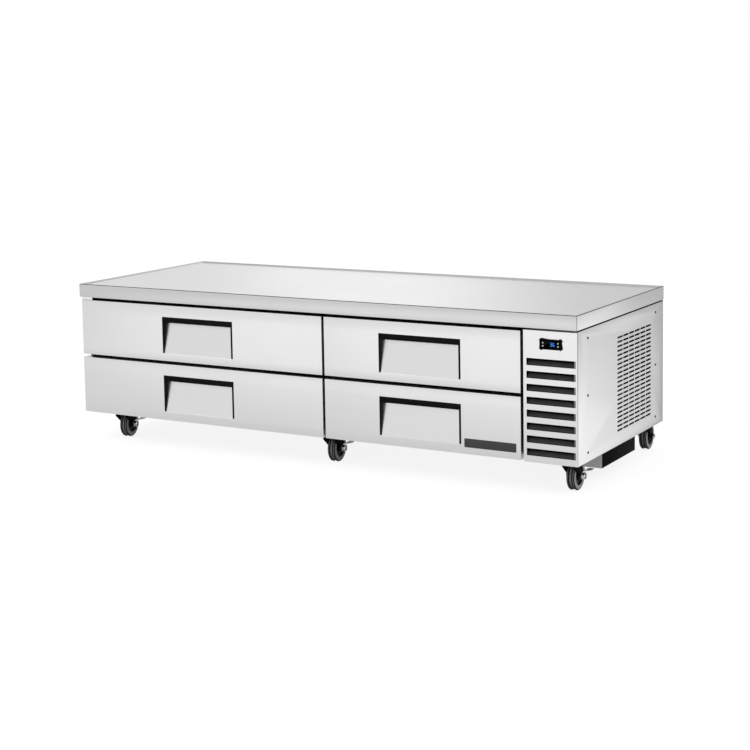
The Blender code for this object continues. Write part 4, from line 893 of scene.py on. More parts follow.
@dataclass
class Drawer:
    """One drawer: its foamed front with the finger pocket, its pull and its gasket."""

    label: str
    pocket_width: float = 0.3210
    pocket_height: float = 0.139
    pocket_depth: float = 0.022
    pocket_drop: float = 0.0445
    pocket_sill: float = 0.0008
    corner_radius: float = 0.0012
    lip_radius: float = 0.0008
    bar_height: float = 0.0205
    bar_depth: float = 0.008
    bar_crown: float = 0.0013
    bar_radius: float = 0.003
    cheek_width: float = 0.006
    cheek_drop: float = 0.001
    cheek_foot: float = 0.0015
    pull_radius: float = 0.0005
    gasket_width: float = 0.010
    gasket_fold: float = 0.0016
    gasket_radius: float = 0.0008

    @property
    def body(self) -> str:
        """The body of the frame that the drawer is."""
        return f"{self.label}_drawer"

    def build(self, workshop: Workshop) -> None:
        """Build the drawer's visible pieces.

        Args:
            workshop: The finishes.
        """
        self.build_front(workshop)
        self.build_pull(workshop)
        self.build_gasket(workshop)

    def build_front(self, workshop: Workshop) -> None:
        """Press the front's skin: a box with a pocket that deepens towards its top.

        Args:
            workshop: The finishes.
        """
        node = f"{self.body}_front"
        low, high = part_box(node)
        front = start_block(f"{self.label}_front_skin", low, high)
        centre = (low.x + high.x) / 2
        left, right = centre - self.pocket_width / 2, centre + self.pocket_width / 2
        top = high.z - self.pocket_drop
        bottom = top - self.pocket_height

        def at_pocket(point: Vector) -> bool:
            """Tell whether a point lies in the pocket, or on its outline."""
            inside = left - TOLERANCE < point.x < right + TOLERANCE
            return inside and bottom - TOLERANCE < point.z < top + TOLERANCE

        with Bench(front) as bench:
            bench.slice(Side.RIGHT, left, right)
            bench.slice(Side.UP, top, bottom)
            bench.faces(lambda middle, normal: normal.y < -STRAIGHT and at_pocket(middle))
            bench.extrude(y=self.pocket_depth)
            bench.points(lambda point: near(point.y, low.y + self.pocket_depth) and near(point.z, bottom))
            bench.move(y=self.pocket_sill - self.pocket_depth)
            bench.edges(box_edges(low, high))
            bench.bevel(self.corner_radius)
            bench.edges(lambda a, b: all(near(point.y, low.y) and at_pocket(point) for point in (a, b)))
            bench.bevel(self.lip_radius, 2)
        workshop.dress(front, "stainless_front", self.body, [node], FINE_ANGLE)

    def build_pull(self, workshop: Workshop) -> None:
        """Mould the pull: a crowned bar and a wedge cheek at each end.

        Args:
            workshop: The finishes.
        """
        node = f"{self.body}_pull"
        low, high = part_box(node)
        bar_low = (low.x, low.y, high.z - self.bar_height)
        bar = start_block(f"{self.label}_pull_bar", bar_low, (high.x, low.y + self.bar_depth, high.z))
        middle = high.z - self.bar_height / 2
        with Bench(bar) as bench:
            bench.slice(Side.UP, middle)
            bench.points(lambda point: near(point.y, low.y) and not near(point.z, middle))
            bench.move(y=self.bar_crown)
            bench.edges(lambda a, b: near(a.y, low.y) and near(b.y, low.y) and near(a.z, b.z))
            bench.bevel(self.bar_radius)
        for start in (low.x, high.x - self.cheek_width):
            end = (start + self.cheek_width, high.y, high.z - self.cheek_drop)
            cheek = start_block("cheek", (start, low.y, low.z), end)
            with Bench(cheek) as bench:
                bench.points(lambda point: near(point.y, high.y) and near(point.z, low.z))
                bench.move(y=low.y - high.y + self.cheek_foot)
            combine(bar, cheek, "UNION")
        round_edges(bar, self.pull_radius)
        workshop.dress(bar, "pull_black", self.body, [node], FINE_ANGLE)

    def build_gasket(self, workshop: Workshop) -> None:
        """Form the gasket: a ring with a bellows fold round its sides.

        Args:
            workshop: The finishes.
        """
        node = f"{self.body}_gasket"
        low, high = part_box(node)
        ring = start_block(f"{self.label}_gasket_ring", low, high)
        middle, size = (low + high) / 2, high - low
        with Bench(ring) as bench:
            bench.faces(lambda centre, normal: abs(normal.y) > STRAIGHT)
            bench.inset(self.gasket_width)
            bpy.ops.mesh.bridge_edge_loops()
            bench.slice(Side.BACK, middle.y)
            bench.points(
                lambda point: near(point.y, middle.y)
                and (near(point.x, low.x, high.x) or near(point.z, low.z, high.z))
            )
            across, up = (1.0 - 2.0 * self.gasket_fold / length for length in (size.x, size.z))
            bench.resize((across, 1.0, up), middle)
        round_edges(ring, self.gasket_radius)
        workshop.dress(ring, "gasket_rubber", self.body, [node], 40.0)


@dataclass
class Badge:
    """The plate on the lower right drawer, left blank."""

    low_x: float = 0.624
    high_x: float = 0.820
    low_z: float = 0.1325
    high_z: float = 0.1635
    thickness: float = 0.0008
    corner_radius: float = 0.002
    border: float = 0.0004
    crown: float = 0.0002

    def build(self, workshop: Workshop) -> None:
        """Cut the plate and ease its edges.

        Args:
            workshop: The finishes.
        """
        face_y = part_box("lower_right_drawer_front")[0].y
        low = Vector((self.low_x, face_y - self.thickness, self.low_z))
        high = Vector((self.high_x, face_y, self.high_z))
        plate = start_block("badge_plate", low, high)
        with Bench(plate) as bench:
            bench.edges(corner_edges(low, high, 1))
            bench.bevel(self.corner_radius, 4)
            bench.facing(Side.FRONT)
            bench.inset(self.border)
            bench.move(y=-self.crown)
        workshop.dress(plate, "badge_plate", "lower_right_drawer")


@dataclass
class LouvrePanel:
    """The front panel of the machine compartment, and the blades and the pan behind its openings."""

    sheet: float = 0.0012
    fold: float = 0.012
    fold_gap: float = 0.0006
    left_fold: float = 0.036
    edge_radius: float = 0.001
    burr: float = 0.0002
    count: int = 8
    width: float = 0.1785
    height: float = 0.0242
    pitch: float = 0.0439
    first_top: float = 0.4604
    corner_radius: float = 0.0012
    cutter_reach: float = 0.01
    window_width: float = 0.0716
    window_height: float = 0.0296
    window_z: float = 0.5108
    blade_setback: float = 0.003
    blade_lift: float = 0.0015
    blade_rise: float = 0.0125
    blade_slope: float = 0.013
    blade_sheet: float = 0.001
    blade_end: float = 0.006
    blade_rake: float = 0.004
    blade_border: float = 0.0003
    pan_gap: float = 0.0005
    pan_side: float = 0.001
    pan_lip: float = 0.002
    pan_wall: float = 0.0008

    def build(self, workshop: Workshop) -> None:
        """Fold the panel, cut it and set the blades behind it.

        Args:
            workshop: The finishes.
        """
        low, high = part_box("front_louvre_panel")
        housing_low, housing_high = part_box("controller_housing")
        centre = (housing_low.x + housing_high.x) / 2
        panel = self.fold_sheet(low, high)
        cutter = self.slot_cutter(low.y, centre, self.first_top, self.width, self.height)
        cutters = [copy_piece(cutter, "louvre_cut", shift(z=-row * self.pitch)) for row in range(self.count)]
        put_away(cutter)
        window_top = self.window_z + self.window_height / 2
        cutters.append(self.slot_cutter(low.y, centre, window_top, self.window_width, self.window_height))
        combine(panel, join(cutters, "louvre_cuts"), "DIFFERENCE")
        round_edges(panel, self.burr, 1, 60.0)
        workshop.dress(panel, "stainless_front", "cabinet", ["front_louvre_panel"], FINE_ANGLE)
        self.build_blades(workshop, low.y, centre)

    def fold_sheet(self, low: Vector, high: Vector) -> Piece:
        """Fold the panel's sheet back at its left, its top and its bottom.

        Args:
            low: The panel's lowest corner.
            high: Its highest corner.

        Returns:
            The panel, without its openings.
        """
        fold_end = high.x - self.fold - self.fold_gap
        inner = low.x + self.sheet
        bottom, top = low.z + self.sheet, high.z - self.sheet
        panel = start_block("louvre_panel_sheet", low, (high.x, low.y + self.sheet, high.z))
        with Bench(panel) as bench:
            bench.slice(Side.RIGHT, fold_end, inner)
            bench.slice(Side.UP, bottom, top)
            bench.faces(
                lambda middle, normal: normal.y > STRAIGHT
                and middle.x < fold_end
                and (middle.x < inner or not bottom < middle.z < top)
            )
            bench.extrude(y=self.fold - self.sheet)
            bench.faces(
                lambda middle, normal: normal.y > STRAIGHT
                and middle.y > low.y + self.fold - TOLERANCE
                and middle.x < inner
            )
            bench.extrude(y=self.left_fold - self.fold)
            bench.edges(lambda a, b: near(a.y, low.y) and near(b.y, low.y) and box_edges(low, high)(a, b))
            bench.bevel(self.edge_radius, 2)
        return panel

    def slot_cutter(self, front_y: float, centre: float, top: float, width: float, height: float) -> Piece:
        """Make the cutter of one opening, with rounded corners.

        Args:
            front_y: The panel's front face.
            centre: The x of the opening's middle.
            top: The z of its upper edge.
            width: Its width.
            height: Its height.

        Returns:
            The cutter.
        """
        low = Vector((centre - width / 2, front_y - self.cutter_reach, top - height))
        high = Vector((centre + width / 2, front_y + self.cutter_reach, top))
        cutter = start_block("slot_cut", low, high)
        with Bench(cutter) as bench:
            bench.edges(corner_edges(low, high, 1))
            bench.bevel(self.corner_radius)
        return cutter

    def build_blades(self, workshop: Workshop, front_y: float, centre: float) -> None:
        """Fold the dark blades that slant up and back behind the openings, and the pan that holds them, near
        black as painted shade.

        Args:
            workshop: The finishes.
            front_y: The panel's front face.
            centre: The x of the middle of the openings.
        """
        left, right = centre - self.width / 2, centre + self.width / 2
        start = front_y + self.sheet + self.blade_setback
        bottom = self.first_top - self.height + self.blade_lift
        high = Vector((right - self.blade_end, start + self.blade_sheet, bottom + self.blade_rise))
        model = start_block("blade_model", (left, start, bottom), high)
        with Bench(model) as bench:
            bench.points(lambda point: near(point.z, high.z))
            bench.move(y=self.blade_slope)
            bench.points(lambda point: near(point.z, high.z) and near(point.x, high.x))
            bench.move(x=-self.blade_rake)
            bench.faces(lambda middle, normal: abs(normal.x) > MOSTLY)
            bench.inset(self.blade_border)
        for row in range(self.count):
            blade = copy_piece(model, f"louvre_blade_{row + 1}", shift(z=-row * self.pitch))
            workshop.dress(blade, "blade_grey", "cabinet")
        put_away(model)
        floor_y = start + self.blade_slope + self.blade_sheet + self.pan_gap
        foot = self.first_top - self.height - (self.count - 1) * self.pitch
        pan_low = (left - self.pan_side, start - self.pan_lip, foot - self.pan_lip)
        pan_high = (right + self.pan_side, floor_y + self.pan_side, self.first_top + self.pan_lip)
        pan = start_block("louvre_pan", pan_low, pan_high)
        with Bench(pan) as bench:
            bench.facing(Side.FRONT)
            bench.inset(self.pan_wall)
            bench.extrude(y=floor_y - start + self.pan_lip)
        # The pan is near black, as painted shade inside the openings.
        workshop.dress(pan, "black_with_painted_shade", "cabinet")


@dataclass
class Screw:
    """A pan-head screw with a crossed recess and the start of its shank."""

    head_radius: float = 0.0044
    head_height: float = 0.0022
    head_middle: float = 0.0003
    crown_inset: float = 0.0012
    crown_rise: float = 0.0005
    shank_inset: float = 0.0022
    shank_length: float = 0.006
    recess_width: float = 0.0006
    recess_length: float = 0.0036
    recess_floor: float = 0.0009
    recess_top: float = 0.004
    edge_radius: float = 0.0003

    def build(self) -> Piece:
        """Make the screw, which points up from the origin.

        Returns:
            The screw's head and the start of its shank.
        """
        middle = (0.0, 0.0, self.head_middle)
        screw = start_round("screw_model", middle, self.head_radius, self.head_height, Side.UP, 24)
        with Bench(screw) as bench:
            bench.facing(Side.UP)
            bench.inset(self.crown_inset)
            bench.move(z=self.crown_rise)
            bench.facing(Side.DOWN)
            bench.inset(self.shank_inset)
            bench.extrude(z=-self.shank_length)
        sizes = (self.recess_width, self.recess_length)
        for across, along in (sizes, sizes[::-1]):
            low = (-across / 2, -along / 2, self.recess_floor)
            combine(screw, start_block("recess", low, (across / 2, along / 2, self.recess_top)), "DIFFERENCE")
        round_edges(screw, self.edge_radius, 2, 50.0)
        return screw


@dataclass
class SidePanel:
    """The slotted side panel and its six screws."""

    sheet: float = 0.0012
    edge_radius: float = 0.001
    rows: int = 22
    slots: int = 6
    pitch: float = 0.015625
    top_z: float = 0.4872
    front_y: float = -0.0617195
    width: float = 0.327
    slot_height: float = 0.007
    slot_end_share: float = 0.45
    web: float = 0.005
    cutter_reach: float = 0.005
    screw_margin_z: float = 0.032
    screw_front: float = 0.085
    screw_rear: float = 0.0765
    hole_radius: float = 0.0023
    hole_depth: float = 0.01
    fold_lean: float = 0.3

    def build(self, workshop: Workshop) -> None:
        """Fold the panel, punch its slots and drive its screws.

        Args:
            workshop: The finishes.
        """
        low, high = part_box("side_panel_right")
        panel = start_block("side_panel_sheet", low, high)
        with Bench(panel) as bench:
            bench.facing(Side.LEFT)
            bench.inset(self.sheet)
            bench.extrude(x=high.x - low.x - self.sheet)
            bench.edges(box_edges(low, high))
            bench.bevel(self.edge_radius, 2)
        combine(panel, self.slot_cutters(high.x), "DIFFERENCE")
        places = [Vector((high.x, y, z)) for y, z in self.screw_places(low, high)]
        hole_size = (self.hole_radius, self.hole_depth)
        holes = [start_round("screw_hole", place, *hole_size, Side.RIGHT, 16) for place in places]
        combine(panel, join(holes, "screw_holes"), "DIFFERENCE")
        names = ("stainless_side", "stainless_edge", "stainless_corner")
        workshop.paint(panel, names, lambda face: self.finish_of(face, low, high))
        workshop.dress(panel, names[0], "cabinet", ["side_panel_right"], FINE_ANGLE)
        model = Screw().build()
        turn = Side.UP.value.rotation_difference(Side.RIGHT.value).to_matrix().to_4x4()
        for number, place in enumerate(places, 1):
            screw = copy_piece(model, f"side_panel_screw_{number}", Matrix.Translation(place) @ turn)
            workshop.dress(screw, "screw_steel", "cabinet")
        put_away(model)

    def finish_of(self, face: bpy.types.MeshPolygon, low: Vector, high: Vector) -> str:
        """Tell the top fold and the upright ends from the rest of the panel; both take painted dark
        reflections along their bends.

        Args:
            face: The face.
            low: The lowest corner.
            high: The highest corner.

        Returns:
            The name of the face's finish.
        """
        if face.center.z > high.z - 2 * self.sheet and face.normal.z > self.fold_lean:
            return "stainless_edge"
        at_end = not low.y + self.sheet < face.center.y < high.y - self.sheet
        upright = is_upright_corner(face) or abs(face.normal.y) > MOSTLY
        return "stainless_corner" if at_end and upright else "stainless_side"

    def screw_places(self, low: Vector, high: Vector) -> list[tuple[float, float]]:
        """Set out the screws in two columns of three.

        Args:
            low: The lowest corner.
            high: The highest corner.

        Returns:
            The y and z of each screw.
        """
        bottom, top = low.z + self.screw_margin_z, high.z - self.screw_margin_z
        columns = (low.y + self.screw_front, high.y - self.screw_rear)
        return [(y, z) for y in columns for z in (bottom, (bottom + top) / 2, top)]

    def slot_cutters(self, face_x: float) -> Piece:
        """Make the cutters of all the slots.

        Args:
            face_x: The panel's outer face.

        Returns:
            One object with a cutter for each slot.
        """
        length = (self.width - (self.slots - 1) * self.web) / self.slots
        low = Vector((face_x - self.cutter_reach, self.front_y, self.top_z - self.slot_height / 2))
        high = Vector((face_x + self.cutter_reach, self.front_y + length, self.top_z + self.slot_height / 2))
        model = start_block("slot_model", low, high)
        with Bench(model) as bench:
            bench.edges(corner_edges(low, high, 0))
            bench.bevel(self.slot_end_share * self.slot_height)
        cutters = [
            copy_piece(model, "slot", shift(y=column * (length + self.web), z=-row * self.pitch))
            for row in range(self.rows)
            for column in range(self.slots)
        ]
        put_away(model)
        return join(cutters, "slot_cuts")


@dataclass
class VentScreen:
    """The dark screen inside the back panel's vents."""

    half_width: float = 0.066
    rise: float = 0.012
    depth: float = 0.004
    setback: float = 0.0008
    panel_sheet: float = 0.0012
    frame: float = 0.004
    back_press: float = 0.0015
    front_press: float = 0.0010

    def build(self, workshop: Workshop) -> None:
        """Frame the screen and press its faces in.

        Args:
            workshop: The finishes.
        """
        gland_low, gland_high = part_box("cord_gland")
        panel_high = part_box("back_panel")[1]
        middle = (gland_low.x + gland_high.x) / 2
        back = panel_high.y - self.panel_sheet - self.setback
        low = (middle - self.half_width, back - self.depth, gland_high.z + self.rise)
        screen = start_block("vent_screen", low, (middle + self.half_width, back, panel_high.z - self.rise))
        with Bench(screen) as bench:
            for side, press in ((Side.BACK, -self.back_press), (Side.FRONT, self.front_press)):
                bench.facing(side)
                bench.inset(self.frame)
                bench.move(y=press)
        workshop.dress(screen, "wheel_core", "cabinet")


@dataclass
class Controller:
    """The controller's housing with its window and digits, and its four keys."""

    bezel_depth: float = 0.003
    bezel_rim: float = 0.002
    bezel_radius: float = 0.0004
    corner_radius: float = 0.0022
    body_width: float = 0.071
    body_height: float = 0.029
    body_overlap: float = 0.0013
    glass_border: float = 0.0040
    glass_lip: float = 0.0006
    glass_setback: float = 0.0007
    digit_height: float = 0.0115
    digit_width: float = 0.0065
    digit_gap: float = 0.0030
    digit_shift: float = 0.0060
    stroke: float = 0.0014
    stroke_depth: float = 0.0006
    stroke_end_share: float = 0.4
    reading: str = "36"
    key_clearance: float = 0.0002
    key_bore: float = 0.0066
    key_rim: float = 0.0009
    key_dish_rim: float = 0.0006
    key_dish: float = 0.0003
    key_radius: float = 0.0004

    def build(self, workshop: Workshop) -> None:
        """Mould the housing, light its digits and fit its keys.

        Args:
            workshop: The finishes.
        """
        low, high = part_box("controller_housing")
        centre = (low + high) / 2
        bezel_high = Vector((high.x, low.y + self.bezel_depth, high.z))
        bezel = start_block("controller_bezel", low, bezel_high)
        with Bench(bezel) as bench:
            bench.edges(corner_edges(low, bezel_high, 1))
            bench.bevel(self.corner_radius, 4)
            bench.facing(Side.BACK)
            bench.inset(self.bezel_rim)
            bench.facing(Side.FRONT)
            bench.inset(self.glass_border)
            bench.inset(self.glass_lip)
            bench.move(y=self.glass_setback)
        half = Vector((self.body_width / 2, 0.0, self.body_height / 2))
        body_low = Vector((centre.x, bezel_high.y - self.body_overlap, centre.z)) - half
        body = start_block("controller_body", body_low, Vector((centre.x, high.y, centre.z)) + half)
        combine(bezel, body, "UNION")
        keys = [f"key_{level}_{side}" for level in ("upper", "lower") for side in ("left", "right")]
        combine(bezel, join([self.bore_for(key, low.y) for key in keys], "key_bores"), "DIFFERENCE")
        round_edges(bezel, self.bezel_radius, 2, 50.0)
        workshop.dress(bezel, "black_plastic", "cabinet", ["controller_housing"], 30.0)
        self.build_digits(workshop, low.y + self.glass_setback, centre)
        for key in keys:
            self.build_key(workshop, key)

    def bore_for(self, key: str, face_y: float) -> Piece:
        """Make the cutter of a key's bore.

        Args:
            key: The key's node.
            face_y: The bezel's front face.

        Returns:
            The cutter.
        """
        low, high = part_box(key)
        place = ((low.x + high.x) / 2, face_y, (low.z + high.z) / 2)
        radius = (high.x - low.x) / 2 + self.key_clearance
        return start_round("key_bore", place, radius, self.key_bore, Side.FRONT)

    def build_digits(self, workshop: Workshop, face_y: float, centre: Vector) -> None:
        """Set the lit strokes of the reading into the window.

        Args:
            workshop: The finishes.
            face_y: The window's face.
            centre: The housing's middle.
        """
        strokes = {
            "top": (0.5, 1.0, True),
            "middle": (0.5, 0.5, True),
            "bottom": (0.5, 0.0, True),
            "upper_left": (0.0, 0.75, False),
            "upper_right": (1.0, 0.75, False),
            "lower_left": (0.0, 0.25, False),
            "lower_right": (1.0, 0.25, False),
        }
        lit = {
            "3": ("top", "middle", "bottom", "upper_right", "lower_right"),
            "6": ("top", "middle", "bottom", "upper_left", "lower_left", "lower_right"),
        }
        pieces = []
        start = centre.x + self.digit_shift - self.digit_width - self.digit_gap / 2
        for index, digit in enumerate(self.reading):
            left = start + index * (self.digit_width + self.digit_gap)
            for across, up, flat in (strokes[name] for name in lit[digit]):
                x = left + across * self.digit_width
                z = centre.z + (up - 0.5) * self.digit_height
                length = self.digit_width if flat else self.digit_height / 2
                length -= 2 * self.stroke_end_share * self.stroke
                pieces.append(self.build_stroke(Vector((x, face_y, z)), length, flat))
        workshop.dress(join(pieces, "controller_digits"), "digit_blue", "cabinet")

    def build_stroke(self, place: Vector, length: float, flat: bool) -> Piece:
        """Make one stroke of a digit, with pointed ends.

        Args:
            place: Its middle.
            length: Its length.
            flat: Whether it lies across.

        Returns:
            The stroke.
        """
        across, up = (length, self.stroke) if flat else (self.stroke, length)
        half = Vector((across, self.stroke_depth, up)) / 2
        low, high = place - half, place + half
        stroke = start_block("stroke", low, high)
        with Bench(stroke) as bench:
            bench.edges(corner_edges(low, high, 1))
            bench.bevel(self.stroke_end_share * self.stroke, 1)
        return stroke

    def build_key(self, workshop: Workshop, node: str) -> None:
        """Turn one dished key.

        Args:
            workshop: The finishes.
            node: The key's node.
        """
        low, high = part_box(node)
        radius = (high.x - low.x) / 2
        key = start_round(f"{node}_cap", (low + high) / 2, radius, high.y - low.y, Side.FRONT, 28)
        with Bench(key) as bench:
            for rim in (self.key_rim, self.key_dish_rim):
                bench.facing(Side.FRONT)
                bench.inset(rim)
            bench.move(y=self.key_dish)
        round_edges(key, self.key_radius, 3, 50.0)
        workshop.dress(key, "key_white", node, [node])


@dataclass
class Tray:
    """The condensing unit's tray: a tub that is black as painted shade, with a bare metal front."""

    flange: float = 0.007
    sheet: float = 0.0012
    corner_radius: float = 0.0015
    edge_radius: float = 0.001

    def build(self, workshop: Workshop) -> None:
        """Press the tub with its flange, and make all but its front black as painted shade.

        Args:
            workshop: The finishes.
        """
        low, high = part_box("condensing_unit_tray")
        tub_low = Vector((low.x + self.flange, low.y + self.flange, low.z))
        tub_high = Vector((high.x - self.flange, high.y - self.flange, high.z - self.sheet))
        half, outer = (tub_high - tub_low) / 2, (high - low) / 2
        tray = start_block("condensing_unit_tub", tub_low, tub_high)
        with Bench(tray) as bench:
            bench.facing(Side.UP)
            bench.extrude()
            bench.resize((outer.x / half.x, outer.y / half.y, 1.0), (low + high) / 2)
            bench.extrude(z=self.sheet)
            bench.inset(self.flange + self.sheet)
            bench.extrude(z=low.z + self.sheet - high.z)
            bench.edges(corner_edges(tub_low, tub_high, 2))
            bench.bevel(self.corner_radius, 2)
            bench.edges(lambda a, b: near(a.z, low.z) and near(b.z, low.z))
            bench.bevel(self.edge_radius, 2)

        def choose(face: bpy.types.MeshPolygon) -> str:
            """Tell the bare front from the rest, which is black as painted shade."""
            at_front = face.normal.y < -MOSTLY and face.center.y < tub_low.y + self.edge_radius
            return "tray_front" if at_front and face.center.z < tub_high.z else "black_steel"

        # All but the front takes the black finish, as painted shade on the tray's sides.
        workshop.paint(tray, ("black_steel", "tray_front"), choose)
        workshop.dress(tray, "black_steel", "cabinet", ["condensing_unit_tray"])


@dataclass
class CastorKit:
    """The six castors: forks, wheels, bolts and brake levers, modelled once and copied."""

    trail: float = 0.032
    axle_z: float = 0.0508
    axle_radius: float = 0.0048
    axle_reach: float = 0.0335
    wheel_radius: float = 0.0508
    wheel_width: float = 0.030
    shoulder_radius: float = 0.006
    tread_depth: float = 0.001
    shoulder_slant: float = 0.45
    side_slant: float = 0.85
    tyre_inner: float = 0.034
    groove_inner: float = 0.0030
    groove_outer: float = 0.0062
    groove_share: float = 0.955
    hub_width: float = 0.033
    hub_radius: float = 0.013
    hub_flare: float = 0.003
    core_rim: float = 0.004
    core_setback: float = 0.002
    core_dish: float = 0.004
    core_seat: float = 0.0004
    core_radius: float = 0.0007
    bore_clearance: float = 0.0006
    bore_length: float = 0.05
    leg_inner: float = 0.0195
    leg_sheet: float = 0.0033
    leg_end_share: float = 0.95
    crown_z: float = 0.1045
    crown_sheet: float = 0.0035
    crown_half: float = 0.0333
    shoulder_drop: float = 0.013
    fork_radius: float = 0.0009
    raceway_radius: float = 0.026
    raceway_top: float = 0.1263
    raceway_groove_shares: tuple[float, float] = (0.45, 0.60)
    raceway_waist_share: float = 0.93
    boss_radius: float = 0.0125
    nut_radius: float = 0.0085
    nut_end: float = 0.0320
    nut_crown: float = 0.0012
    nut_rise: float = 0.0004
    washer: float = 0.0033
    small_radius: float = 0.0004
    brake_gap: float = 0.0004
    brake_sheet: float = 0.0025
    brake_start: float = 0.026
    brake_length: float = 0.060
    brake_drop: float = 0.0085
    brake_rise: float = 0.0115
    brake_width: float = 0.020
    brake_bore: float = 0.0053
    cup_radius: float = 0.0118
    cup_depth: float = 0.0110
    cup_wall: float = 0.0018
    cup_sink: float = 0.0005
    tab_dip: float = 0.0012
    tab_radius: float = 0.004

    @property
    def axle(self) -> Vector:
        """The middle of the axle, with the swivel's axis through the origin."""
        return Vector((0.0, self.trail, self.axle_z))

    @property
    def leg_outer(self) -> float:
        """The outer face of the fork's legs."""
        return self.leg_inner + self.leg_sheet

    @property
    def crown_top(self) -> float:
        """The upper face of the fork's crown."""
        return self.crown_z + self.crown_sheet

    def build(self, workshop: Workshop, joints: list[dict]) -> None:
        """Model each piece once and fit it to every castor.

        Args:
            workshop: The finishes.
            joints: The frame's joints, which give each castor's place and turn.
        """
        by_name = {joint["name"]: joint for joint in joints}
        fork, tyre, core, brake = self.model_fork(), self.model_tyre(), self.model_core(), self.model_brake()
        bolts = {braked: self.model_bolt(braked) for braked in (True, False)}
        # The tyre's grooves and shoulders take painted shade, and its flat sides painted light.
        workshop.paint(tyre, ("tyre_rubber", "tyre_side", "tyre_groove"), self.tyre_finish)
        for row in ("front", "rear"):
            for column in ("left", "middle", "right"):
                name, braked = f"{row}_{column}", row == "front"
                wheel, place = f"{name}_wheel", self.place_of(by_name, name)
                sets = [
                    (fork, "fork_pressing", "black_steel", f"{name}_fork", [f"{name}_castor_fork"], 30.0),
                    (bolts[braked], "axle_bolt", "zinc_bright", f"{name}_fork", [], 35.0),
                    (tyre, "tyre", "tyre_rubber", wheel, [f"{name}_castor_wheel"], 40.0),
                    (core, "wheel_core", "wheel_core", wheel, [], 40.0),
                ]
                if braked:
                    lever = [f"{name}_castor_brake"]
                    sets.append((brake, "brake_plate", "zinc_bright", f"{name}_brake", lever, 30.0))
                for model, label, finish, body, stands_for, angle_deg in sets:
                    piece = copy_piece(model, f"{name}_{label}", place)
                    workshop.dress(piece, finish, body, stands_for, angle_deg)
        put_away(fork, tyre, core, brake, *bolts.values())

    def place_of(self, joints: dict[str, dict], name: str) -> Matrix:
        """Return the place of a castor, from its swivel and the direction of its axle.

        Args:
            joints: The frame's joints by their names.
            name: The castor's name.

        Returns:
            The transform from the models to the castor.
        """
        swivel = joints[f"{name}_castor_swivel"]["pos_m"]
        axle = joints[f"{name}_wheel_spin"]["axis"]
        return shift(swivel[0], swivel[1]) @ Matrix.Rotation(math.atan2(axle[1], axle[0]), 4, "Z")

    def tyre_finish(self, face: bpy.types.MeshPolygon) -> str:
        """Tell the grooves and shoulders and the flat sides of a tyre from its tread: grooves and shoulders
        are painted shade, the flat sides painted light.

        Args:
            face: The face.

        Returns:
            The name of the face's finish.
        """
        slant = abs(face.normal.x)
        grooved = self.groove_inner < abs(face.center.x) < self.groove_outer
        if grooved or self.shoulder_slant < slant < self.side_slant:
            return "tyre_groove"
        return "tyre_side" if slant > self.side_slant else "tyre_rubber"

    def model_fork(self) -> Piece:
        """Model the fork: a crown, two tapered legs with round ends, and the raceway.

        Returns:
            The fork.
        """
        outer, top = self.leg_outer, self.crown_top
        fork = start_block(
            "fork_model", (-outer, -self.crown_half, self.crown_z), (outer, self.crown_half, top)
        )
        for start in (-outer, self.leg_inner):
            combine(fork, self.model_leg(start), "UNION")
        height = self.raceway_top - top
        cup = start_round("raceway", (0.0, 0.0, top + height / 2), self.raceway_radius, height, Side.UP, 40)
        lower, upper = (top + share * height for share in self.raceway_groove_shares)
        with Bench(cup) as bench:
            bench.facing(Side.DOWN)
            bench.extrude(z=-self.crown_sheet / 2)
            bench.slice(Side.UP, lower, upper)
            bench.faces(lambda middle, normal: near(normal.z, 0.0) and lower < middle.z < upper)
            bench.resize((self.raceway_waist_share, self.raceway_waist_share, 1.0), (0.0, 0.0, 0.0))
        combine(fork, cup, "UNION")
        round_edges(fork, self.fork_radius, 2, 40.0)
        return fork

    def model_leg(self, start: float) -> Piece:
        """Model one leg of the fork, whose lower end is round about the axle.

        Args:
            start: The x of its left face.

        Returns:
            The leg.
        """
        low = Vector((start, -self.crown_half, self.axle_z))
        high = Vector((start + self.leg_sheet, self.crown_half, self.crown_top))
        bottom = low.z - self.boss_radius
        leg = start_block("leg", low, high)
        with Bench(leg) as bench:
            bench.slice(Side.UP, self.crown_z - self.shoulder_drop)
            for y, reach in ((low.y, -self.boss_radius), (high.y, self.boss_radius)):
                bench.points(lambda point: near(point.z, low.z) and near(point.y, y))
                bench.move(y=self.trail + reach - y)
            bench.facing(Side.DOWN)
            bench.extrude(z=-self.boss_radius)
            bench.edges(lambda a, b: near(a.z, bottom) and near(b.z, bottom) and near(a.y, b.y))
            bench.bevel(self.leg_end_share * self.boss_radius, 6)
        return leg

    def model_bolt(self, braked: bool) -> Piece:
        """Model the axle bolt with a nut at each end, the right one outside the brake lever.

        Args:
            braked: Whether the castor has a brake lever.

        Returns:
            The bolt with its nuts.
        """
        bolt = start_round("bolt_model", self.axle, self.axle_radius, 2 * self.axle_reach, Side.RIGHT, 24)
        right_start = self.leg_outer + (self.washer if braked else 0.0)
        for sign, side, start in ((-1.0, Side.LEFT, self.leg_outer), (1.0, Side.RIGHT, right_start)):
            middle = self.axle + Vector((sign * (start + self.nut_end) / 2, 0.0, 0.0))
            nut = start_round("nut", middle, self.nut_radius, self.nut_end - start, Side.RIGHT, 6)
            with Bench(nut) as bench:
                bench.facing(side)
                bench.inset(self.nut_crown)
                bench.move(x=sign * self.nut_rise)
            combine(bolt, nut, "UNION")
        round_edges(bolt, self.small_radius, 2, 40.0)
        return bolt

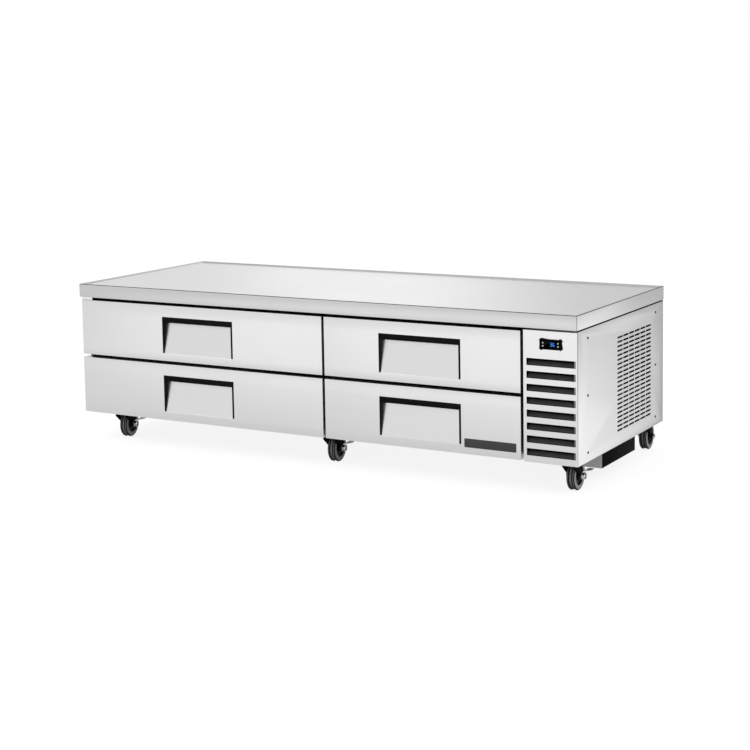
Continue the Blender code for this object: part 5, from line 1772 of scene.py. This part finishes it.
    def model_brake(self) -> Piece:
        """Model the brake lever: a cup round the nut, a tapered arm and a toe tab bent outwards.

        Returns:
            The lever.
        """
        start = self.leg_outer + self.brake_gap
        end = start + self.brake_sheet
        tail, toe = self.trail + self.brake_start, self.trail + self.brake_length
        foot, top = self.axle_z - self.brake_drop, self.axle_z + self.brake_rise + self.brake_sheet
        lever = start_block("brake_model", (start, self.trail, foot), (end, toe, top))
        with Bench(lever) as bench:
            bench.slice(Side.BACK, tail)
            for y, rise in ((tail, self.brake_rise / 2), (toe, self.brake_rise - self.brake_sheet)):
                bench.points(lambda point: near(point.y, y) and near(point.z, foot))
                bench.move(z=self.brake_drop + rise)
        middle = Vector(((start + end) / 2, self.trail, self.axle_z))
        boss = start_round("brake_boss", middle, self.boss_radius, self.brake_sheet, Side.RIGHT, 40)
        combine(lever, boss, "UNION")
        cup_middle = (end - self.cup_sink + self.cup_depth / 2, self.trail, self.axle_z)
        cup = start_round("brake_cup", cup_middle, self.cup_radius, self.cup_depth, Side.RIGHT, 40)
        with Bench(cup) as bench:
            bench.facing(Side.RIGHT)
            bench.inset(self.cup_wall)
            bench.extrude(x=self.cup_sink - self.cup_depth)
        combine(lever, cup, "UNION")
        tab_foot = self.axle_z + self.brake_rise
        tab_low = Vector((start + self.brake_sheet / 2, tail + self.brake_sheet, tab_foot))
        combine(lever, self.model_tab(tab_low, Vector((start + self.brake_width, toe, top))), "UNION")
        bore = start_round("brake_bore", middle, self.brake_bore, 4 * self.brake_sheet, Side.RIGHT, 24)
        combine(lever, bore, "DIFFERENCE")
        round_edges(lever, self.small_radius, 2, 50.0)
        return lever

    def model_tab(self, low: Vector, high: Vector) -> Piece:
        """Model the brake lever's toe tab, dipped across its middle.

        Args:
            low: The lowest corner.
            high: The highest corner.

        Returns:
            The tab.
        """
        tab = start_block("brake_tab", low, high)
        middle = (low.y + high.y) / 2
        with Bench(tab) as bench:
            bench.slice(Side.BACK, middle)
            bench.points(lambda point: near(point.y, middle))
            bench.move(z=-self.tab_dip)
            bench.edges(corner_edges(low, high, 2))
            bench.bevel(self.tab_radius, 4)
        return tab

    def model_tyre(self) -> Piece:
        """Model the tyre: a tread with two grooves, round shoulders and flat sides.

        Returns:
            The tyre.
        """
        centre, half = self.axle, self.wheel_width / 2
        tyre = start_round("tyre_model", centre, self.wheel_radius, self.wheel_width, Side.RIGHT, 64)

        def on_tread(point: Vector) -> bool:
            """Tell whether a point lies on the tread."""
            return (point - centre).yz.length > self.wheel_radius - self.tread_depth

        def in_groove(middle: Vector, normal: Vector) -> bool:
            """Tell whether a face of the tread lies in one of its grooves."""
            return self.groove_inner < abs(middle.x) < self.groove_outer and on_tread(middle)

        with Bench(tyre) as bench:
            for side in (Side.LEFT, Side.RIGHT):
                bench.facing(side)
                bench.inset(self.wheel_radius - self.tyre_inner)
            bench.faces(
                lambda middle, normal: abs(normal.x) > STRAIGHT
                and (middle - centre).yz.length < self.hub_radius
            )
            bpy.ops.mesh.bridge_edge_loops()
            bench.edges(lambda a, b: near(abs(a.x), half) and near(a.x, b.x) and on_tread(a) and on_tread(b))
            bench.bevel(self.shoulder_radius, 4)
            inner, outer = self.groove_inner, self.groove_outer
            bench.slice(Side.RIGHT, -outer, -inner, inner, outer)
            bench.faces(in_groove)
            bench.resize((1.0, self.groove_share, self.groove_share), centre)
        return tyre

    def model_core(self) -> Piece:
        """Model the wheel's core: a dished web and a hub round the axle.

        Returns:
            The core.
        """
        width = self.wheel_width - 2 * self.core_setback
        core = start_round("core_model", self.axle, self.tyre_inner + self.core_seat, width, Side.RIGHT, 48)
        hub_rise = self.hub_width / 2 - width / 2 + self.core_dish
        with Bench(core) as bench:
            for sign, side in ((-1.0, Side.LEFT), (1.0, Side.RIGHT)):
                bench.facing(side)
                bench.inset(self.core_rim)
                bench.extrude(x=-sign * self.core_dish)
                bench.inset(self.tyre_inner - self.core_rim - self.hub_radius - self.hub_flare)
                bench.extrude(x=sign * hub_rise)
        radius = self.axle_radius + self.bore_clearance
        bore = start_round("bore", self.axle, radius, self.bore_length, Side.RIGHT, 24)
        combine(core, bore, "DIFFERENCE")
        round_edges(core, self.core_radius, 2, 40.0)
        return core


BANKS = ("left_bank", "right_bank")
DRAWERS = ("upper_left", "upper_right", "lower_left", "lower_right")

# The nodes of the frame that are shown as they are, under the finish that each one gets
CARRIED_OVER = {
    "foam_core": ("cabinet_foam",),
    "stainless_inside": ("cabinet_liner", *[f"{drawer}_drawer_carrier" for drawer in DRAWERS]),
    # The front frame's near black also stands in for the shade in the gaps between the drawer fronts.
    "black_with_painted_shade": ("front_frame",),
    "stainless_side": ("end_panel_left",),
    "galvanised_sheet": (
        "back_panel",
        "base_pan",
        "bulkhead",
        *[f"{bank}_{side}_tracks" for bank in BANKS for side in ("left", "right")],
    ),
    "black_steel": ("castor_rail_front", "castor_rail_rear", "compressor", "condenser_fan_motor"),
    "coil_fins": ("condenser_coil", "evaporator_coil"),
    "black_plastic": ("condenser_fan", "evaporator_fan", "cord_gland"),
}


# The studio


class Ramp(NamedTuple):
    """A gradient: its values at its start and its end, where those lie, and whether they are soft."""

    low: float
    high: float
    start: float
    end: float
    soft: bool = False


@dataclass
class Studio:
    """The floor, the surroundings, the lamps and the camera."""

    floor_size: float = 30.0
    floor_colour: float = 0.22
    floor_lift: float = 0.86
    floor_front: Ramp = Ramp(0.97, 0.55, -2.6, -1.0)
    floor_left: Ramp = Ramp(0.72, 1.0, -3.3, -2.6)
    side_slope: float = 2.37
    side_from: float = 1.046
    floor_side: Ramp = Ramp(0.95, 0.40, -1.1, 0.9, True)
    floor_far_side: Ramp = Ramp(1.0, 0.72, 1.2, 2.8, True)
    floor_right: Ramp = Ramp(0.0, 1.0, 0.9, 1.2, True)
    sky_light: float = 0.75
    front_sky: float = 0.80
    back_sky: Ramp = Ramp(0.58, 0.76, 0.38, 0.60)
    streak: float = 0.38
    streak_start: Ramp = Ramp(0.0, 1.0, 0.43, 0.55)
    streak_end: Ramp = Ramp(1.0, 0.0, 0.60, 0.72)
    haze: Ramp = Ramp(0.0, 0.4, 0.30, 0.45)
    ceiling: float = 0.10
    ceiling_height: Ramp = Ramp(0.0, 1.0, 0.50, 0.75)
    gap: float = 0.9
    gap_start: Ramp = Ramp(0.0, 1.0, 1.35, 1.55)
    gap_end: Ramp = Ramp(1.0, 0.0, 1.90, 2.15)
    zenith: Ramp = Ramp(0.0, 0.70, 0.84, 0.93)
    camera_place: tuple[float, float, float] = (3.15275, -5.38420, 1.42752)
    azimuth: float = 0.5235709
    elevation: float = 0.1094845
    roll: float = -0.0163825
    lens: float = 79.3985
    sensor: float = 36.0
    rise: float = -0.1656

    def build(self) -> None:
        """Set up everything round the object."""
        self.build_floor()
        self.build_world()
        self.hang_lamp("key_softbox", place=(-2.6, -3.2, 3.4), aim=(-0.1, 0.0, 0.3), size=2.6, power=40.0)
        self.hang_lamp("fill_softbox", place=(3.6, -1.6, 2.2), aim=(0.3, 0.0, 0.3), size=2.2, power=15.0)
        self.build_camera()

    def build_floor(self) -> None:
        """Lay a pale floor that shows white but keeps the object's shadow."""
        deselect_all()
        bpy.ops.mesh.primitive_plane_add(size=self.floor_size)
        floor = bpy.context.object
        floor.name = "studio_floor"
        material = bpy.data.materials.new("studio_floor")
        material.use_nodes = True
        wiring = Wiring(material.node_tree)
        shader = material.node_tree.nodes["Principled BSDF"]
        shader.inputs["Base Color"].default_value = (*grey(self.floor_colour), 1.0)
        shader.inputs["Roughness"].default_value = 0.9
        shader.inputs["Specular IOR Level"].default_value = 0.0
        path = wiring.add("ShaderNodeLightPath").outputs
        sheen = wiring.math("MULTIPLY", self.mirrored(wiring, path), self.floor_mirror(wiring))
        lift = wiring.math("MULTIPLY", path["Is Camera Ray"], self.floor_lift)
        glow = wiring.add("ShaderNodeEmission", {"Strength": wiring.math("ADD", sheen, lift)})
        both = wiring.add("ShaderNodeAddShader", {0: shader.outputs[0], 1: glow.outputs[0]})
        wiring.feed(material.node_tree.nodes["Material Output"].inputs["Surface"], both.outputs[0])
        floor.data.materials.append(material)

    def floor_mirror(self, wiring: Wiring) -> Socket:
        """Wire how light the floor shows in the steel.

        Args:
            wiring: The nodes of the floor's material.

        Returns:
            A gradient before the object, and another one at its right.
        """
        place = wiring.add("ShaderNodeTexCoord").outputs["Object"]
        across, along, _ = wiring.add("ShaderNodeSeparateXYZ", {0: place}).outputs
        front = wiring.rescale(along, *self.floor_front)
        front = wiring.math("MULTIPLY", front, wiring.rescale(across, *self.floor_left))
        slant = wiring.math("MULTIPLY", wiring.math("SUBTRACT", across, self.side_from), self.side_slope)
        side = wiring.rescale(wiring.math("SUBTRACT", along, slant), *self.floor_side)
        side = wiring.math("MULTIPLY", side, wiring.rescale(across, *self.floor_far_side))
        right = wiring.rescale(across, *self.floor_right)
        front = wiring.math("MULTIPLY", front, wiring.math("SUBTRACT", 1.0, right))
        return wiring.math("ADD", front, wiring.math("MULTIPLY", side, right))

    def mirrored(self, wiring: Wiring, path: bpy.types.NodeOutputs) -> Socket:
        """Wire a mask of the rays that come by a reflection or through glass."""
        return wiring.math("ADD", path["Is Glossy Ray"], path["Is Transmission Ray"])

    def build_world(self) -> None:
        """Surround the object with white that lights it at a plain level."""
        world = bpy.data.worlds.new("studio")
        bpy.context.scene.world = world
        world.use_nodes = True
        wiring = Wiring(world.node_tree)
        background = world.node_tree.nodes["Background"]
        background.inputs["Color"].default_value = (*grey(1.0), 1.0)
        path = wiring.add("ShaderNodeLightPath").outputs
        mirrored = wiring.math("MINIMUM", self.mirrored(wiring, path), 1.0)
        change = wiring.math("SUBTRACT", self.sky_mirror(wiring), self.sky_light)
        seen = wiring.math("MULTIPLY", path["Is Camera Ray"], 1.0 - self.sky_light)
        strength = wiring.math("ADD", wiring.math("MULTIPLY", mirrored, change), seen)
        wiring.feed(background.inputs["Strength"], wiring.math("ADD", strength, self.sky_light))

    def sky_mirror(self, wiring: Wiring) -> Socket:
        """Wire how light the surroundings show in the steel.

        Args:
            wiring: The nodes of the world.

        Returns:
            A plain front, a streak and a haze behind, and a dark ceiling with a gap that is light overhead.
        """
        place = wiring.add("ShaderNodeTexCoord").outputs["Object"]
        across, along, up = wiring.add("ShaderNodeSeparateXYZ", {0: place}).outputs
        depth = wiring.math("MAXIMUM", along, 0.001)
        leftward = wiring.math("DIVIDE", wiring.math("MULTIPLY", across, -1.0), depth)
        behind = wiring.math("GREATER_THAN", along, 0.0)
        streak = self.band(wiring, leftward, self.streak_start, self.streak_end)
        streak = wiring.math("MULTIPLY", wiring.math("MULTIPLY", streak, behind), self.streak)
        base = wiring.math("MULTIPLY", wiring.rescale(leftward, *self.back_sky), behind)
        base = wiring.math("ADD", base, wiring.rescale(behind, self.front_sky, 0.0))
        haze = wiring.math("MULTIPLY", wiring.rescale(up, *self.haze), behind)
        sky = wiring.math("ADD", wiring.math("ADD", streak, base), haze)
        gap = wiring.math("MULTIPLY", self.band(wiring, leftward, self.gap_start, self.gap_end), self.gap)
        ceiling = wiring.math("MAXIMUM", gap, self.ceiling)
        ceiling = wiring.math("MAXIMUM", ceiling, wiring.rescale(up, *self.zenith))
        open_sky = wiring.rescale(wiring.rescale(up, *self.ceiling_height), 1.0, ceiling)
        return wiring.math("MINIMUM", wiring.math("MULTIPLY", sky, open_sky), 1.0)

    def band(self, wiring: Wiring, value: Socket, start: Ramp, end: Ramp) -> Socket:
        """Wire a band that fades in and out again."""
        return wiring.math("MULTIPLY", wiring.rescale(value, *start), wiring.rescale(value, *end))

    def hang_lamp(self, name: str, place: Place, aim: Place, size: float, power: float) -> None:
        """Hang one soft box.

        Args:
            name: The lamp's name.
            place: Where it hangs.
            aim: The point that it faces.
            size: The length of its side.
            power: Its power in watts.
        """
        light = bpy.data.lights.new(name, "AREA")
        light.shape = "SQUARE"
        light.size = size
        light.energy = power
        lamp = bpy.data.objects.new(name, light)
        bpy.context.scene.collection.objects.link(lamp)
        lamp.location = place
        lamp.rotation_euler = (Vector(aim) - Vector(place)).to_track_quat("-Z", "Y").to_euler()

    def build_camera(self) -> None:
        """Stand the camera where the picture was taken from."""
        data = bpy.data.cameras.new("studio_camera")
        data.lens = self.lens
        data.sensor_width = self.sensor
        data.sensor_fit = "HORIZONTAL"
        data.shift_y = self.rise
        camera = bpy.data.objects.new("studio_camera", data)
        bpy.context.scene.collection.objects.link(camera)
        flat = math.cos(self.elevation)
        across, along = math.sin(self.azimuth) * flat, -math.cos(self.azimuth) * flat
        back = Vector((across, along, math.sin(self.elevation)))
        right = (-back).cross(Side.UP.value).normalized()
        up = right.cross(-back)
        turned_right = math.cos(self.roll) * right + math.sin(self.roll) * up
        turned_up = math.cos(self.roll) * up - math.sin(self.roll) * right
        turn = Matrix((turned_right, turned_up, back)).transposed().to_4x4()
        camera.matrix_world = Matrix.Translation(self.camera_place) @ turn
        bpy.context.scene.camera = camera


def main() -> None:
    """Load the frame, build every piece on it and set up the studio."""
    logging.basicConfig(level=logging.INFO, format="%(message)s")
    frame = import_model()
    bpy.context.scene.view_settings.view_transform = "Standard"
    workshop = Workshop()
    Worktop().build(workshop)
    for drawer in DRAWERS:
        Drawer(drawer).build(workshop)
    for sub_assembly in (Badge(), LouvrePanel(), SidePanel(), VentScreen(), Controller(), Tray()):
        sub_assembly.build(workshop)
    CastorKit().build(workshop, frame["joints"])
    for finish, names in CARRIED_OVER.items():
        for name in names:
            workshop.coat(frame["nodes"][name], finish)
    Studio().build()


if __name__ == "__main__":
    main()
